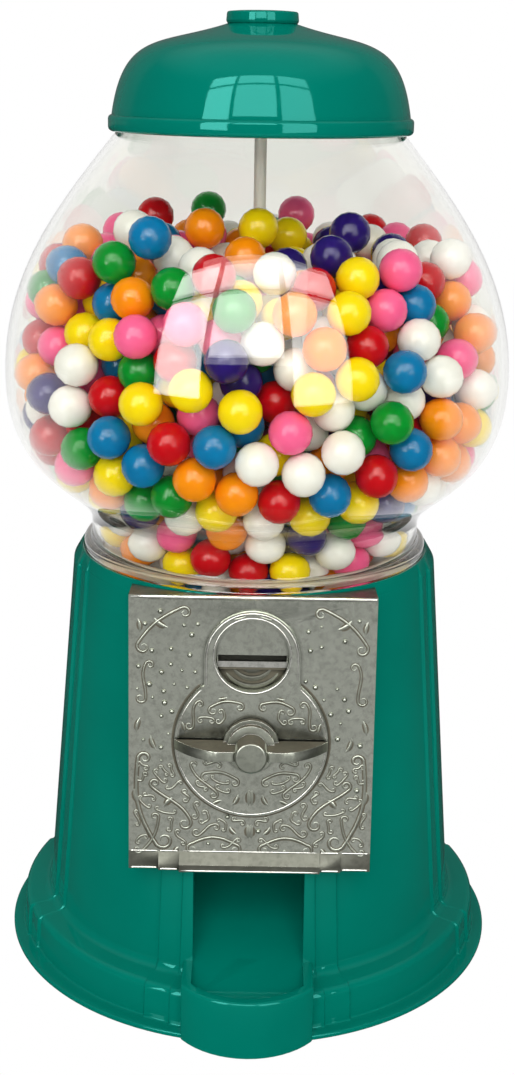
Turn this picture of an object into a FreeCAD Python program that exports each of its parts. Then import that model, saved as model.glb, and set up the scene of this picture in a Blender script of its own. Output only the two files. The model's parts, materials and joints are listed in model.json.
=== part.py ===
# Gumball machine: cast base with chute and tray, coin mechanism behind a front plate, ball wheel under a
# glass globe, and a lid held by a rod through the globe's middle.
# Millimetres, +Z up, the front faces -Y. Pieces are made about the globe's axis at x = y = 0, and saving
# moves them so that the origin is the bottom centre of the whole machine's box.
import FreeCAD, Part
import math
import os
import random

from FreeCAD import Vector

# Clearances
running_gap = 0.05
fit_gap = 0.1
turning_gap = 0.4
loose_gap = 0.3

# Gumballs
ball_radius = 7.85
ball_gap = 0.04
heap_rise = 54.3
heap_seed = 11
heap_tries = 60
heap_crest_part = 0.5
ball_colours = {
    "white": 23,
    "pink": 16,
    "red": 12,
    "orange": 13,
    "yellow": 12,
    "green": 8,
    "blue": 5,
    "purple": 5,
}

# Glass globe
globe_radius = 100.4
globe_equator_rise = 72.2
globe_lower_pull = 43.8
globe_upper_pull = 41.8
globe_neck_rise = 12.4
globe_neck_pull = 16.7
globe_foot_radius = 70.3
globe_foot_ledge = 3.3
globe_foot_thick = 5.2
globe_mouth_radius = 56.1
globe_mouth_rise = 165.7
globe_mouth_pull = 26.4
globe_mouth_slope = 0.8
globe_rim_step = 0.6
globe_rim_height = 4.8
glass_wall = 3.0
gasket_thick = 1.0

# Lid and knob
lid_height = 41.5
lid_bead_proud = 1.4
lid_bead_height = 6.5
lid_bead_round = 1.6
lid_skirt_step = 1.9
lid_skirt_lean = 4.7
lid_skirt_pull = 30.4
lid_crown_pull = 25.65
lid_crown_drop = 8.3
lid_wall = 2.4
knob_seat_radius = 13.2
knob_overhang = 0.6
knob_thick = 3.0
knob_round = 1.0
knob_stem_radius = 6.0
knob_stem_length = 9.0
knob_bore_depth = 10.2

# Base casting
flange_radius = 103.7
flange_thick = 2.2
flange_round = 0.8
flange_width = 4.7
foot_proud = 0.8
plinth_draft = 1.0
plinth_top = 17.5
plinth_round = 2.5
ledge_rise = 1.0
ledge_width = 10.85
foot_cove = 4.0
shoulder_height = 167.0
shoulder_round = 2.5
shoulder_slope = 3.1
deck_rise = 5.3
deck_recess = 2.8
deck_lip = 0.9
deck_thick = 6.0
base_wall = 3.0
panel_step = 1.0
pilaster_count = 4
step_half_angles = (24.6, 18.0)

# Bottom cover and feet
cover_bottom = 6.5
cover_thick = 1.5
cover_ledge = 2.0
rubber_foot_radius = 6.0
rubber_foot_inset = 15.0
rubber_foot_count = 4

# Chute and tray
chute_half_width = 21.6
chute_wall = 2.0
chute_space_behind = 1.65
chute_space_ahead = 0.65
chute_drop = 2.0
chute_corner = 50.0
chute_bend = 60.0
chute_floor_end = 10.5
chute_roof_rise = 23.0
chute_mouth_drop = 0.7
tray_side = 3.9
tray_proud = 9.1
tray_rim = 24.5
tray_wall = 3.6
tray_front_radius = 32.6
tray_round = 1.2

# Centre rod
rod_radius = 2.4
nut_across_flats = 8.0
nut_thick = 3.6
washer_radius = 6.5
washer_thick = 1.0

# Ball wheel, its housing and the hopper above it
wheel_radius = 49.0
wheel_thick = 17.0
wheel_pockets = 6
pocket_circle = 27.0
pocket_space = 0.95
crown_teeth = 36
crown_radius = 44.0
crown_face = 8.0
crown_rim_thick = 2.5
crown_rim_margin = 1.0
crown_tooth_height = 6.8
crown_root_gap = 2.85
crown_tip_half_width = 0.9
crown_root_half_width = 2.0
cup_gap = 1.5
cup_wall = 2.5
cup_flange_gap = 0.9
cup_flange_flat = 2.5
cup_floor_gap = 0.5
trench_depth = 8.0
trench_gap = 1.4
drop_hole_space = 1.4
hopper_rim_hold = 2.0
hopper_rim_thick = 1.5
hopper_step = 4.0
hopper_throat_radius = 41.0
hopper_knee_gap = 2.0
hopper_floor_thick = 1.7
hopper_wall = 2.0
guard_thick = 0.8
guard_hub_radius = 9.0
guard_half_angle = 34.0
cup_screw_count = 3

# Screws
screw_radius = 1.5
screw_head_radius = 3.2
screw_head_height = 2.2

# Coin and coin way
coin_radius = 12.13
coin_slot_space = 1.74
coin_slot_height = 2.4
coin_slot_drop = 2.0
coin_path_thick = 4.4
coin_ledge_height = 2.6
coin_ledge_proud = 2.0
coin_hole_border = 0.85
coin_hole_height = 34.5
coin_notch_depth = 17.0
coin_exit_floor = 3.0
coin_exit_height = 22.0

# Coin plate, in its own frame: x across, y inwards from the front face, z up the plate from the handle
handle_height = 115.0
plate_set_back = 2.1
plate_below = 48.7
plate_thick = 2.6
plate_return_thick = 2.2
plate_flange_thick = 2.2
plate_reach = 24.0
plate_screw_inset = 5.5
plate_screw_z = 36.0
plate_boss_end = 20.0
plate_boss_radius = 5.0
post_radius = 4.0
relief_height = 2.0
relief_radius = 29.0
relief_neck_border = 4.15
relief_neck_drop = 0.8
lip_drop = 2.8
lip_rise = 4.3
lip_depths = (3.5, 1.9, 0.5)
lip_insets = (19.5, 11.5, 0.0)
window_margin = 1.0
window_top_gap = 1.15
window_below = 43.0

# Coin mechanism
shaft_radius = 4.0
shaft_tip = 0.4
housing_side = 4.8
housing_gap = 2.0
housing_top_gap = 1.2
housing_below = 33.0
housing_rear_wall = 3.0
shield_thick = 2.4
carrier_border = 3.24
carrier_thick = 5.8
pocket_gap = 0.7
mech_screw_inset = 4.5
bush_wall = 2.0
ratchet_teeth = 12
ratchet_tip_radius = 17.0
ratchet_tooth_height = 2.5
ratchet_thick = 3.0
pawl_pivot_out = 6.77
pawl_pivot_angle = 22.25
pawl_tip_gap = 1.17
pawl_tip_angle = -14.35
pawl_boss_wall = 1.5
pawl_arm = 4.2
pin_radius = 2.0
pin_stand = 3.5
spring_wire = 0.7
spring_leg = 9.0
pinion_teeth = 12
pinion_face = 8.0
pinion_tip_radius = 16.9
pinion_tooth_height = 5.3
pinion_tip_half_width = 0.9
pinion_root_half_width = 2.0
spacer_wall = 2.0
clip_width = 3.0
clip_thick = 0.9

# Handle, its heights measured forwards from the boss on the plate
handle_half_span = 29.0
handle_thick = 3.8
handle_gap = 1.2
handle_crest_rise = 13.4
handle_shoulder_part = 0.63
handle_crest_x = 16.5
handle_waist_rise = 10.0
hub_wall = 2.05
hub_rise = 16.0
hub_cap = 2.0
hub_round = 1.0
collar_widths = (4.45, 2.95)
collar_thick = 2.8

# Base, worked out from the globe's foot and the flange
neck_bore = globe_foot_radius - globe_foot_ledge - glass_wall
globe_neck_radius = globe_foot_radius - globe_foot_ledge
flange_top = foot_proud + flange_thick
plinth_bottom_radius = flange_radius - flange_width
plinth_top_radius = plinth_bottom_radius - plinth_draft
ledge_height = plinth_top + ledge_rise
body_foot_radius = plinth_top_radius - ledge_width
deck_radius = globe_foot_radius + loose_gap + deck_lip
body_top_radius = deck_radius + shoulder_slope
taper = (body_foot_radius - body_top_radius) / (shoulder_height - ledge_height)
deck_height = shoulder_height + deck_rise
deck_floor = deck_height - deck_recess
deck_under = deck_floor - deck_thick
all_steps = len(step_half_angles) * panel_step
deck_inner_radius = body_top_radius - all_steps - base_wall + taper * (shoulder_height - deck_under)
tray_reach = flange_radius + tray_proud
tray_half_width = chute_half_width + tray_side
axis_shift = tray_proud / 2
cover_top = cover_bottom + cover_thick
plinth_inner_radius = plinth_top_radius - all_steps - base_wall
cover_radius = plinth_inner_radius + cover_ledge
rubber_foot_circle = cover_radius - rubber_foot_inset

# Globe and lid, worked out upwards from the deck
globe_foot = deck_floor + gasket_thick
globe_neck_top = globe_foot + globe_neck_rise
globe_equator = globe_foot + globe_equator_rise
globe_mouth = globe_foot + globe_mouth_rise
globe_rim = globe_mouth + globe_rim_height
globe_rim_radius = globe_mouth_radius - globe_rim_step
heap_top = globe_equator + heap_rise
heap_crest = heap_top + ball_radius * heap_crest_part
lid_bottom = globe_mouth + loose_gap
lid_skirt_radius = globe_rim_radius + lid_skirt_step
lid_bead_radius = lid_skirt_radius + lid_bead_proud
knob_seat = lid_bottom + lid_height
knob_radius = knob_seat_radius + knob_overhang
knob_top = knob_seat + knob_thick
rod_bottom = cover_bottom - washer_thick - nut_thick - loose_gap
rod_top = knob_seat - knob_stem_length + knob_bore_depth - turning_gap

# Plate and mechanism, worked out from the coin and from the body's front
plate_tilt = math.degrees(math.atan(taper))
tilt_sine = math.sin(math.radians(plate_tilt))
tilt_cosine = math.cos(math.radians(plate_tilt))
plate_front = body_foot_radius - taper * (handle_height - ledge_height) - plate_set_back
plate_above = (deck_height - handle_height - loose_gap) / tilt_cosine
coin_slot_width = 2 * coin_radius + coin_slot_space
coin_hole_radius = coin_slot_width / 2 + coin_hole_border
coin_slot_level = coin_hole_height - coin_slot_drop
carrier_radius = 2 * coin_radius + carrier_border
coin_wall_rear = plate_thick + shield_thick
carrier_front = coin_wall_rear + turning_gap
carrier_rear = carrier_front + carrier_thick
pocket_rear = carrier_rear + turning_gap
housing_rear = pocket_rear + housing_rear_wall
housing_half_width = carrier_radius + pocket_gap + housing_side
housing_above = (deck_under - cup_wall - handle_height - housing_top_gap) / tilt_cosine
coin_exit_low = coin_exit_floor - housing_below
window_half_width = housing_half_width + housing_gap
window_above = coin_hole_height + coin_hole_radius + window_top_gap
plate_screw_x = window_half_width + window_margin + plate_boss_radius
plate_width = 2 * (plate_screw_x + plate_screw_inset)
relief_neck_half_width = coin_hole_radius + relief_neck_border
relief_neck_centre = coin_hole_height - relief_neck_drop
ratchet_front = housing_rear + turning_gap
ratchet_rear = ratchet_front + ratchet_thick
ratchet_root_radius = ratchet_tip_radius - ratchet_tooth_height
pawl_pivot_x = -(ratchet_tip_radius + pawl_pivot_out) * math.cos(math.radians(pawl_pivot_angle))
pawl_pivot_z = (ratchet_tip_radius + pawl_pivot_out) * math.sin(math.radians(pawl_pivot_angle))
pawl_tip_x = -(ratchet_tip_radius + pawl_tip_gap) * math.cos(math.radians(pawl_tip_angle))
pawl_tip_z = (ratchet_tip_radius + pawl_tip_gap) * math.sin(math.radians(pawl_tip_angle))
pawl_boss_radius = pin_radius + pawl_boss_wall
pin_end = ratchet_rear + pin_stand
spring_inner = pin_radius + turning_gap
spring_radius = spring_inner + spring_wire
bush_radius = shaft_radius + bush_wall
pinion_root_radius = pinion_tip_radius - pinion_tooth_height
pinion_front = plate_front - crown_radius - pinion_face / 2
pinion_rear = pinion_front + pinion_face
shaft_end = pinion_rear + clip_thick + shaft_tip
handle_back = -relief_height - handle_gap
handle_crest = -relief_height - handle_crest_rise
handle_shoulder = handle_back + (handle_crest - handle_back) * handle_shoulder_part
handle_waist = -relief_height - handle_waist_rise
hub_front = -relief_height - hub_rise
hub_radius = shaft_radius + hub_wall
shaft_front = hub_front + hub_cap
mech_place = FreeCAD.Placement(
    Vector(0, -plate_front, handle_height), FreeCAD.Rotation(Vector(1, 0, 0), -plate_tilt)
)

# Wheel, cup, hopper and chute, worked out upwards from the pinion
pinion_height = handle_height - (pinion_front + pinion_face / 2) * tilt_sine
wheel_bottom = pinion_height + pinion_tip_radius + crown_root_gap
wheel_top = wheel_bottom + wheel_thick
crown_tip = wheel_bottom - crown_tooth_height
crown_seat = wheel_bottom + crown_rim_thick
crown_inner = crown_radius - crown_face / 2
crown_rim_inner = crown_inner - crown_rim_margin
pocket_radius = ball_radius + pocket_space
cup_floor = wheel_bottom - cup_floor_gap
cup_trench = cup_floor - trench_depth
cup_radius = wheel_radius + cup_gap
cup_flange_radius = deck_inner_radius - cup_flange_gap
cup_screw_circle = cup_flange_radius - screw_head_radius
trench_inner = crown_inner - trench_gap
drop_hole_radius = ball_radius + drop_hole_space
guard_bottom = wheel_top + turning_gap
guard_top = guard_bottom + guard_thick
hopper_throat = guard_top + loose_gap
hopper_rim_radius = neck_bore + hopper_rim_hold
hopper_top_radius = neck_bore - hopper_step
hopper_knee_radius = cup_radius - hopper_wall - hopper_knee_gap
hopper_knee_under = deck_under + loose_gap
hopper_knee = hopper_knee_under + hopper_floor_thick
chute_back = -pocket_circle + ball_radius + chute_space_behind
chute_front = -pocket_circle - ball_radius - chute_space_ahead
chute_top = cup_trench - cup_wall - chute_drop
chute_mouth_top = handle_height - (plate_below + lip_drop) * tilt_cosine - chute_mouth_drop
chute_roof_back = chute_mouth_top + chute_roof_rise

upright = Vector(0, 0, 1)
seam_angle = 90.0
inward = Vector(0, 1, 0)


def in_section(radius, height):
    return Vector(radius, 0, height)


def in_side_view(depth, height):
    return Vector(0, depth, height)


def on_plate(across, height):
    return Vector(across, 0, height)


def rounded_face(corners, place):
    """Face inside (a, b) or (a, b, radius) corners, each radius being a tangent arc."""
    points = [place(corner[0], corner[1]) for corner in corners]
    spans = []
    for index, corner in enumerate(corners):
        here = points[index]
        if len(corner) < 3:
            spans.append((here, here, here))
            continue
        to_last = (points[index - 1] - here).normalize()
        to_next = (points[(index + 1) % len(points)] - here).normalize()
        half_angle = to_last.getAngle(to_next) / 2
        bisector = (to_last + to_next).normalize()
        reach = corner[2] / math.tan(half_angle)
        to_arc = corner[2] / math.sin(half_angle) - corner[2]
        spans.append((here + to_last * reach, here + bisector * to_arc, here + to_next * reach))
    edges = []
    for index, (first, middle, last) in enumerate(spans):
        if first != last:
            edges.append(Part.Arc(first, middle, last).toShape())
        after = spans[(index + 1) % len(spans)][0]
        edges.append(Part.LineSegment(last, after).toShape())
    return Part.Face(Part.Wire(edges))


def turned(face, start=seam_angle, sweep=360.0):
    """Solid of revolution about the globe's axis, with its seam at the back unless told otherwise."""
    face = face.copy()
    face.rotate(Vector(), upright, start)
    return face.revolve(Vector(), upright, sweep)


def turned_outline(*corners):
    return turned(rounded_face(corners, in_section))


def ring(inner, outer, bottom, top):
    return turned_outline((inner, bottom), (outer, bottom), (outer, top), (inner, top))


def block(low_x, high_x, low_y, high_y, low_z, high_z):
    return Part.makeBox(high_x - low_x, high_y - low_y, high_z - low_z, Vector(low_x, low_y, low_z))


def rod_along(radius, front, rear, across=0.0, height=0.0):
    """Cylinder along the plate's inward direction."""
    return Part.makeCylinder(radius, rear - front, Vector(across, front, height), inward)


def tube_along(inner, outer, front, rear, across=0.0, height=0.0):
    return rod_along(outer, front, rear, across, height).cut(rod_along(inner, front, rear, across, height))


def joined(shapes):
    first = shapes[0]
    return first.fuse(shapes[1:]).removeSplitter()


def around(shape, count, start=0.0):
    """Copies of a shape, evenly round the globe's axis."""
    copies = []
    for index in range(count):
        copy = shape.copy()
        copy.rotate(Vector(), upright, start + 360.0 * index / count)
        copies.append(copy)
    return copies


def mech(shape):
    """A piece drawn in the plate's frame, put in its place on the machine."""
    placed = shape.copy()
    placed.Placement = mech_place.multiply(placed.Placement)
    return placed


def hex_nut(across_flats, bore, bottom, thick):
    corner = across_flats / math.sqrt(3)
    points = [Vector(corner * math.cos(math.radians(60 * k)), corner * math.sin(math.radians(60 * k)), bottom)
              for k in range(7)]
    body = Part.Face(Part.makePolygon(points)).extrude(upright * thick)
    return body.cut(Part.makeCylinder(bore, thick, Vector(0, 0, bottom)))


def save(name, shape):
    shape = shape.copy()
    shape.translate(Vector(0, axis_shift, 0))
    shape.exportStep("parts/" + name + ".step")


def body_outline(step_back, inner, bottom):
    """Half section of the base above its flange, set back by the panel steps."""
    return rounded_face([
        (inner, bottom),
        (plinth_bottom_radius - step_back, bottom),
        (plinth_top_radius - step_back, plinth_top, plinth_round),
        (body_foot_radius - step_back, ledge_height, foot_cove),
        (body_top_radius - step_back, shoulder_height, shoulder_round),
        (deck_radius, deck_height),
        (inner, deck_height),
    ], in_section)


def body_solid(step_back):
    return turned(body_outline(step_back, 0, foot_proud))


def pilasters(clearance):
    """Wedges that stand out from the round panels step by step, grown by a clearance."""
    core = deck_radius - 2 * base_wall
    widen = math.degrees(clearance / body_top_radius)
    wedges = []
    for index, half_angle in enumerate(step_half_angles):
        face = body_outline(all_steps - (index + 1) * panel_step - clearance, core, flange_top)
        wedge = turned(face, -90 - half_angle - widen, 2 * (half_angle + widen))
        wedges += around(wedge, pilaster_count)
    return wedges


def base_outside():
    """The casting's outside: round panels, the pilasters on them and the flange."""
    pieces = [body_solid(all_steps)] + pilasters(0)
    pieces.append(turned_outline(
        (0, foot_proud),
        (flange_radius, foot_proud, flange_round),
        (flange_radius, flange_top, flange_round),
        (0, flange_top),
    ))
    return joined(pieces)


def tray_plan(front_radius, half_width, low, high):
    """Upright block with a bowed front, as the tray is seen from above."""
    centre = -tray_reach + tray_front_radius
    bow = Part.makeCylinder(front_radius, high - low, Vector(0, centre, low))
    depth = front_radius + tray_reach
    strip = block(-half_width, half_width, -depth, 0, low, high)
    behind = block(-half_width, half_width, centre, 0, low, high)
    return bow.common(strip).fuse(behind).removeSplitter()


def chute_profile(grow):
    """Side view of the ball's way from the wheel to the tray, grown by the chute's wall."""
    front = -tray_reach - tray_wall
    return rounded_face([
        (chute_back + grow, chute_top),
        (chute_back + grow, chute_corner - grow, chute_bend + grow),
        (front, chute_floor_end - grow),
        (front, chute_mouth_top + grow),
        (-body_foot_radius, chute_mouth_top + grow),
        (chute_front - grow, chute_roof_back + grow),
        (chute_front - grow, chute_top),
    ], in_side_view)


def chute_way(grow):
    half_width = chute_half_width + grow
    way = chute_profile(grow).extrude(Vector(2 * half_width, 0, 0))
    way.translate(Vector(-half_width, 0, 0))
    return way


def base_inside():
    """The hollow of the base, down through its open bottom."""
    inner_foot = body_foot_radius - all_steps - base_wall
    return turned_outline(
        (0, 0),
        (cover_radius, 0),
        (cover_radius, cover_top),
        (plinth_inner_radius, cover_top),
        (plinth_inner_radius, plinth_top - base_wall),
        (inner_foot, ledge_height - base_wall),
        (deck_inner_radius, deck_under),
        (0, deck_under),
    )


def plate_screw_places():
    return [(side * plate_screw_x, end * plate_screw_z) for side in (-1, 1) for end in (-1, 1)]


def make_base():
    outside = base_outside()
    tray = tray_plan(tray_front_radius, tray_half_width, foot_proud, tray_rim)
    rim_edges = [edge for edge in tray.Edges
                 if edge.BoundBox.ZMin > tray_rim - fit_gap and edge.BoundBox.YMin < -body_foot_radius]
    tray = tray.makeFillet(tray_round, rim_edges)
    hollow = base_inside()
    bosses = [mech(rod_along(plate_boss_radius, 0, plate_boss_end, x, z)) for x, z in plate_screw_places()]
    holes = [mech(rod_along(screw_radius + fit_gap, 0, plate_boss_end + 1, x, z))
             for x, z in plate_screw_places()]
    inner_bosses = [boss.common(body_solid(all_steps)) for boss in bosses]
    window = mech(block(-window_half_width, window_half_width, -plate_reach, plate_reach,
                        -window_below, window_above))
    land = mech(block(-plate_width / 2 - loose_gap, plate_width / 2 + loose_gap, -plate_reach,
                      plate_thick + loose_gap, -plate_below - lip_drop, plate_above + plate_reach))
    recess = ring(0, globe_foot_radius + loose_gap, deck_floor, deck_height + 1)
    seat = ring(0, hopper_rim_radius + loose_gap, deck_floor - hopper_rim_thick, deck_floor)
    bore = ring(0, hopper_top_radius + hopper_wall + loose_gap, deck_under - 1, deck_floor)
    ball_way = chute_way(0).common(tray_plan(tray_front_radius - tray_wall, chute_half_width, 0, chute_top))
    shell = outside.fuse(tray).cut(hollow)
    shell = shell.cut([window, land, recess, seat, bore, ball_way])
    shell = shell.fuse([boss.cut(land) for boss in inner_bosses]).cut(holes)
    thread = ring(0, screw_radius + running_gap, deck_under - 1, deck_under + screw_head_radius)
    thread.translate(Vector(0, cup_screw_circle, 0))
    return shell.cut(around(thread, cup_screw_count)).removeSplitter()


def make_chute():
    walls = chute_way(chute_wall).cut(chute_way(0)).common(base_inside())
    return max(walls.Solids, key=lambda solid: solid.Volume)


def make_cover():
    hole = rod_radius + loose_gap
    return ring(hole, cover_radius - fit_gap, cover_bottom, cover_top)


def make_feet():
    foot = turned_outline(
        (0, 0), (rubber_foot_radius, 0, flange_round), (rubber_foot_radius, cover_bottom), (0, cover_bottom))
    foot.translate(Vector(rubber_foot_circle, 0, 0))
    return Part.makeCompound(around(foot, rubber_foot_count, 180.0 / rubber_foot_count))


def globe_curves(thinner):
    """The bowl's two curves, from the neck to the equator and on to the mouth, as control points."""
    radius = globe_radius - thinner
    mouth = globe_mouth_radius - thinner
    neck = globe_neck_radius - thinner
    lower = [
        in_section(neck, globe_neck_top),
        in_section(neck, globe_neck_top + globe_neck_pull),
        in_section(radius, globe_equator - globe_lower_pull),
        in_section(radius, globe_equator),
    ]
    upper = [
        in_section(radius, globe_equator),
        in_section(radius, globe_equator + globe_upper_pull),
        in_section(mouth + globe_mouth_pull * globe_mouth_slope, globe_mouth - globe_mouth_pull),
        in_section(mouth, globe_mouth),
    ]
    return lower, upper


def bezier_edge(poles):
    curve = Part.BezierCurve()
    curve.setPoles(poles)
    return curve.toShape()


def polyline_edges(points):
    return [Part.LineSegment(a, b).toShape() for a, b in zip(points, points[1:])]


def make_globe():
    outer_lower, outer_upper = globe_curves(0)
    inner_lower, inner_upper = globe_curves(glass_wall)
    foot_top = globe_foot + globe_foot_thick
    below = polyline_edges([
        inner_lower[0],
        in_section(neck_bore, globe_foot),
        in_section(globe_foot_radius, globe_foot),
        in_section(globe_foot_radius, foot_top),
        in_section(globe_neck_radius, foot_top),
        outer_lower[0],
    ])
    above = polyline_edges([
        outer_upper[-1],
        in_section(globe_rim_radius, globe_mouth),
        in_section(globe_rim_radius, globe_rim),
        in_section(globe_mouth_radius - glass_wall, globe_rim),
        inner_upper[-1],
    ])
    bowl = [bezier_edge(poles) for poles in (outer_lower, outer_upper, inner_upper, inner_lower)]
    outline = below + bowl[:2] + above + bowl[2:]
    return turned(Part.Face(Part.Wire(Part.__sortEdges__(outline))))


def make_globe_gasket():
    return ring(neck_bore, globe_foot_radius - loose_gap, deck_floor, globe_foot)


def lid_curve(thinner):
    top = knob_seat - thinner
    skirt_foot = lid_bottom + lid_bead_height
    return [
        in_section(lid_skirt_radius - thinner, skirt_foot),
        in_section(lid_skirt_radius - lid_skirt_lean - thinner, skirt_foot + lid_skirt_pull - thinner),
        in_section(knob_seat_radius + lid_crown_pull - thinner, top - lid_crown_drop),
        in_section(knob_seat_radius, top),
    ]


def make_lid():
    outer = lid_curve(0)
    inner = lid_curve(lid_wall)
    stem_hole = knob_stem_radius + loose_gap
    inside = globe_rim_radius + loose_gap
    seat = globe_rim + gasket_thick
    centre = polyline_edges([
        outer[-1],
        in_section(stem_hole, knob_seat),
        in_section(stem_hole, knob_seat - lid_wall),
        inner[-1],
    ])
    skirt = polyline_edges([
        inner[0],
        in_section(inner[0].x, seat),
        in_section(inside, seat),
        in_section(inside, lid_bottom),
        in_section(lid_bead_radius - lid_bead_round, lid_bottom),
        in_section(lid_bead_radius, lid_bottom + lid_bead_round),
        in_section(lid_bead_radius, lid_bottom + lid_bead_height - lid_bead_round),
        outer[0],
    ])
    outline = [bezier_edge(outer)] + centre + [bezier_edge(inner)] + skirt
    return turned(Part.Face(Part.Wire(Part.__sortEdges__(outline))))


def make_lid_gasket():
    return ring(globe_mouth_radius - glass_wall, globe_rim_radius, globe_rim, globe_rim + gasket_thick)


def make_knob():
    bottom = knob_seat - knob_stem_length
    bore = rod_radius + running_gap
    return turned_outline(
        (bore, bottom),
        (knob_stem_radius, bottom),
        (knob_stem_radius, knob_seat),
        (knob_radius, knob_seat),
        (knob_radius, knob_top, knob_round),
        (0, knob_top),
        (0, bottom + knob_bore_depth),
        (bore, bottom + knob_bore_depth),
    )


def make_rod():
    return Part.makeCylinder(rod_radius, rod_top - rod_bottom, Vector(0, 0, rod_bottom))


def make_rod_washer():
    return ring(rod_radius + running_gap, washer_radius, cover_bottom - washer_thick, cover_bottom)


def make_rod_nut():
    bottom = cover_bottom - washer_thick - nut_thick
    return hex_nut(nut_across_flats, rod_radius + running_gap, bottom, nut_thick)


def hopper_inside():
    """Corners of the funnel's inside, from its throat to its rim."""
    return [
        in_section(hopper_throat_radius, hopper_throat),
        in_section(hopper_knee_radius, hopper_knee),
        in_section(hopper_top_radius, deck_floor),
    ]


def make_hopper():
    rim_bottom = deck_floor - hopper_rim_thick
    outside = [
        in_section(hopper_rim_radius, deck_floor),
        in_section(hopper_rim_radius, rim_bottom),
        in_section(hopper_top_radius + hopper_wall, rim_bottom),
        in_section(hopper_knee_radius + hopper_wall, hopper_knee_under),
        in_section(hopper_throat_radius + hopper_wall, hopper_throat),
    ]
    points = hopper_inside() + outside
    return turned(Part.Face(Part.makePolygon(points + points[:1])))


def make_guard():
    """Plate over the pocket that is above the drop hole, so that one ball leaves at a time."""
    bore = rod_radius + fit_gap
    reach = hopper_throat_radius + hopper_wall
    sector = rounded_face([
        (bore, guard_bottom), (reach, guard_bottom), (reach, guard_top), (bore, guard_top),
    ], in_section)
    leaf = turned(sector, -90 - guard_half_angle, 2 * guard_half_angle)
    hub = ring(bore, guard_hub_radius, guard_bottom, guard_top)
    return joined([leaf, hub])


def make_guard_nut():
    return hex_nut(nut_across_flats, rod_radius + running_gap, guard_top, nut_thick)


def crown_tooth():
    outline = [
        Vector(-crown_root_half_width, 0, wheel_bottom),
        Vector(crown_root_half_width, 0, wheel_bottom),
        Vector(crown_tip_half_width, 0, crown_tip),
        Vector(-crown_tip_half_width, 0, crown_tip),
        Vector(-crown_root_half_width, 0, wheel_bottom),
    ]
    tooth = Part.Face(Part.makePolygon(outline)).extrude(Vector(0, crown_face, 0))
    tooth.translate(Vector(0, crown_inner, 0))
    return tooth


def wheel_disc():
    """Disc with six ball pockets and the rebate for its crown."""
    disc = ring(rod_radius + running_gap, wheel_radius, wheel_bottom, wheel_top)
    pocket = ring(0, pocket_radius, wheel_bottom, wheel_top)
    pocket.translate(Vector(0, pocket_circle, 0))
    half_pocket = 180.0 / wheel_pockets
    rebate = ring(crown_rim_inner - running_gap, 2 * wheel_radius, wheel_bottom, crown_seat)
    return disc.cut(around(pocket, wheel_pockets, half_pocket) + [rebate])


def make_wheel():
    """Star-shaped hub: the inner half of each pocket."""
    return wheel_disc().common(ring(0, pocket_circle - running_gap, wheel_bottom, wheel_top))


def make_rim():
    """Rim pressed onto the hub's six arms: the outer half of each pocket."""
    return wheel_disc().cut(ring(0, pocket_circle, wheel_bottom, wheel_top))


def make_crown():
    """Toothed ring pressed into the rebate under the wheel."""
    rim = ring(crown_rim_inner, wheel_radius, wheel_bottom, crown_seat)
    half_pitch = 180.0 / crown_teeth
    return joined([rim] + around(crown_tooth(), crown_teeth, half_pitch))


def make_cup():
    """Cup under the deck that the wheel turns in, with a trench for the teeth and a window for the pinion."""
    outer = cup_radius + cup_wall
    step = trench_inner - cup_wall
    body = turned_outline(
        (rod_radius + loose_gap, cup_floor - cup_wall),
        (step, cup_floor - cup_wall),
        (step, cup_trench - cup_wall),
        (outer, cup_trench - cup_wall),
        (outer, deck_under - cup_wall),
        (cup_flange_radius, deck_under - cup_wall),
        (cup_flange_radius, deck_under),
        (cup_radius, deck_under),
        (cup_radius, cup_trench),
        (trench_inner, cup_trench),
        (trench_inner, cup_floor),
        (rod_radius + loose_gap, cup_floor),
    )
    drop_hole = Part.makeCylinder(drop_hole_radius, cup_wall, Vector(0, -pocket_circle, cup_floor - cup_wall))
    half_window = pinion_tip_radius + fit_gap
    window = block(-half_window, half_window, -cup_radius, -trench_inner - fit_gap,
                   cup_trench - cup_wall, cup_trench)
    hole = ring(0, screw_radius + fit_gap, deck_under - cup_wall, deck_under)
    hole.translate(Vector(0, cup_screw_circle, 0))
    flange = cup_flange_radius
    flat = block(-flange, flange, -flange, cup_flange_flat - flange, deck_under - cup_wall, deck_under)
    return body.cut([drop_hole, window, flat] + around(hole, cup_screw_count))


def make_cup_screws():
    head = deck_under - cup_wall - screw_head_height
    screw = turned_outline(
        (0, head),
        (screw_head_radius, head),
        (screw_head_radius, head + screw_head_height),
        (screw_radius, head + screw_head_height),
        (screw_radius, deck_under + screw_radius),
        (0, deck_under + screw_radius),
    )
    screw.translate(Vector(0, cup_screw_circle, 0))
    return Part.makeCompound(around(screw, cup_screw_count))


def relief_face():
    disc = Part.Face(Part.Wire(Part.makeCircle(relief_radius, Vector(), inward)))
    crown = Part.Face(Part.Wire(
        Part.makeCircle(relief_neck_half_width, Vector(0, 0, relief_neck_centre), inward)))
    neck = rounded_face([
        (-relief_neck_half_width, 0), (relief_neck_half_width, 0),
        (relief_neck_half_width, relief_neck_centre), (-relief_neck_half_width, relief_neck_centre),
    ], on_plate)
    return disc.fuse([crown, neck]).removeSplitter()


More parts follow.
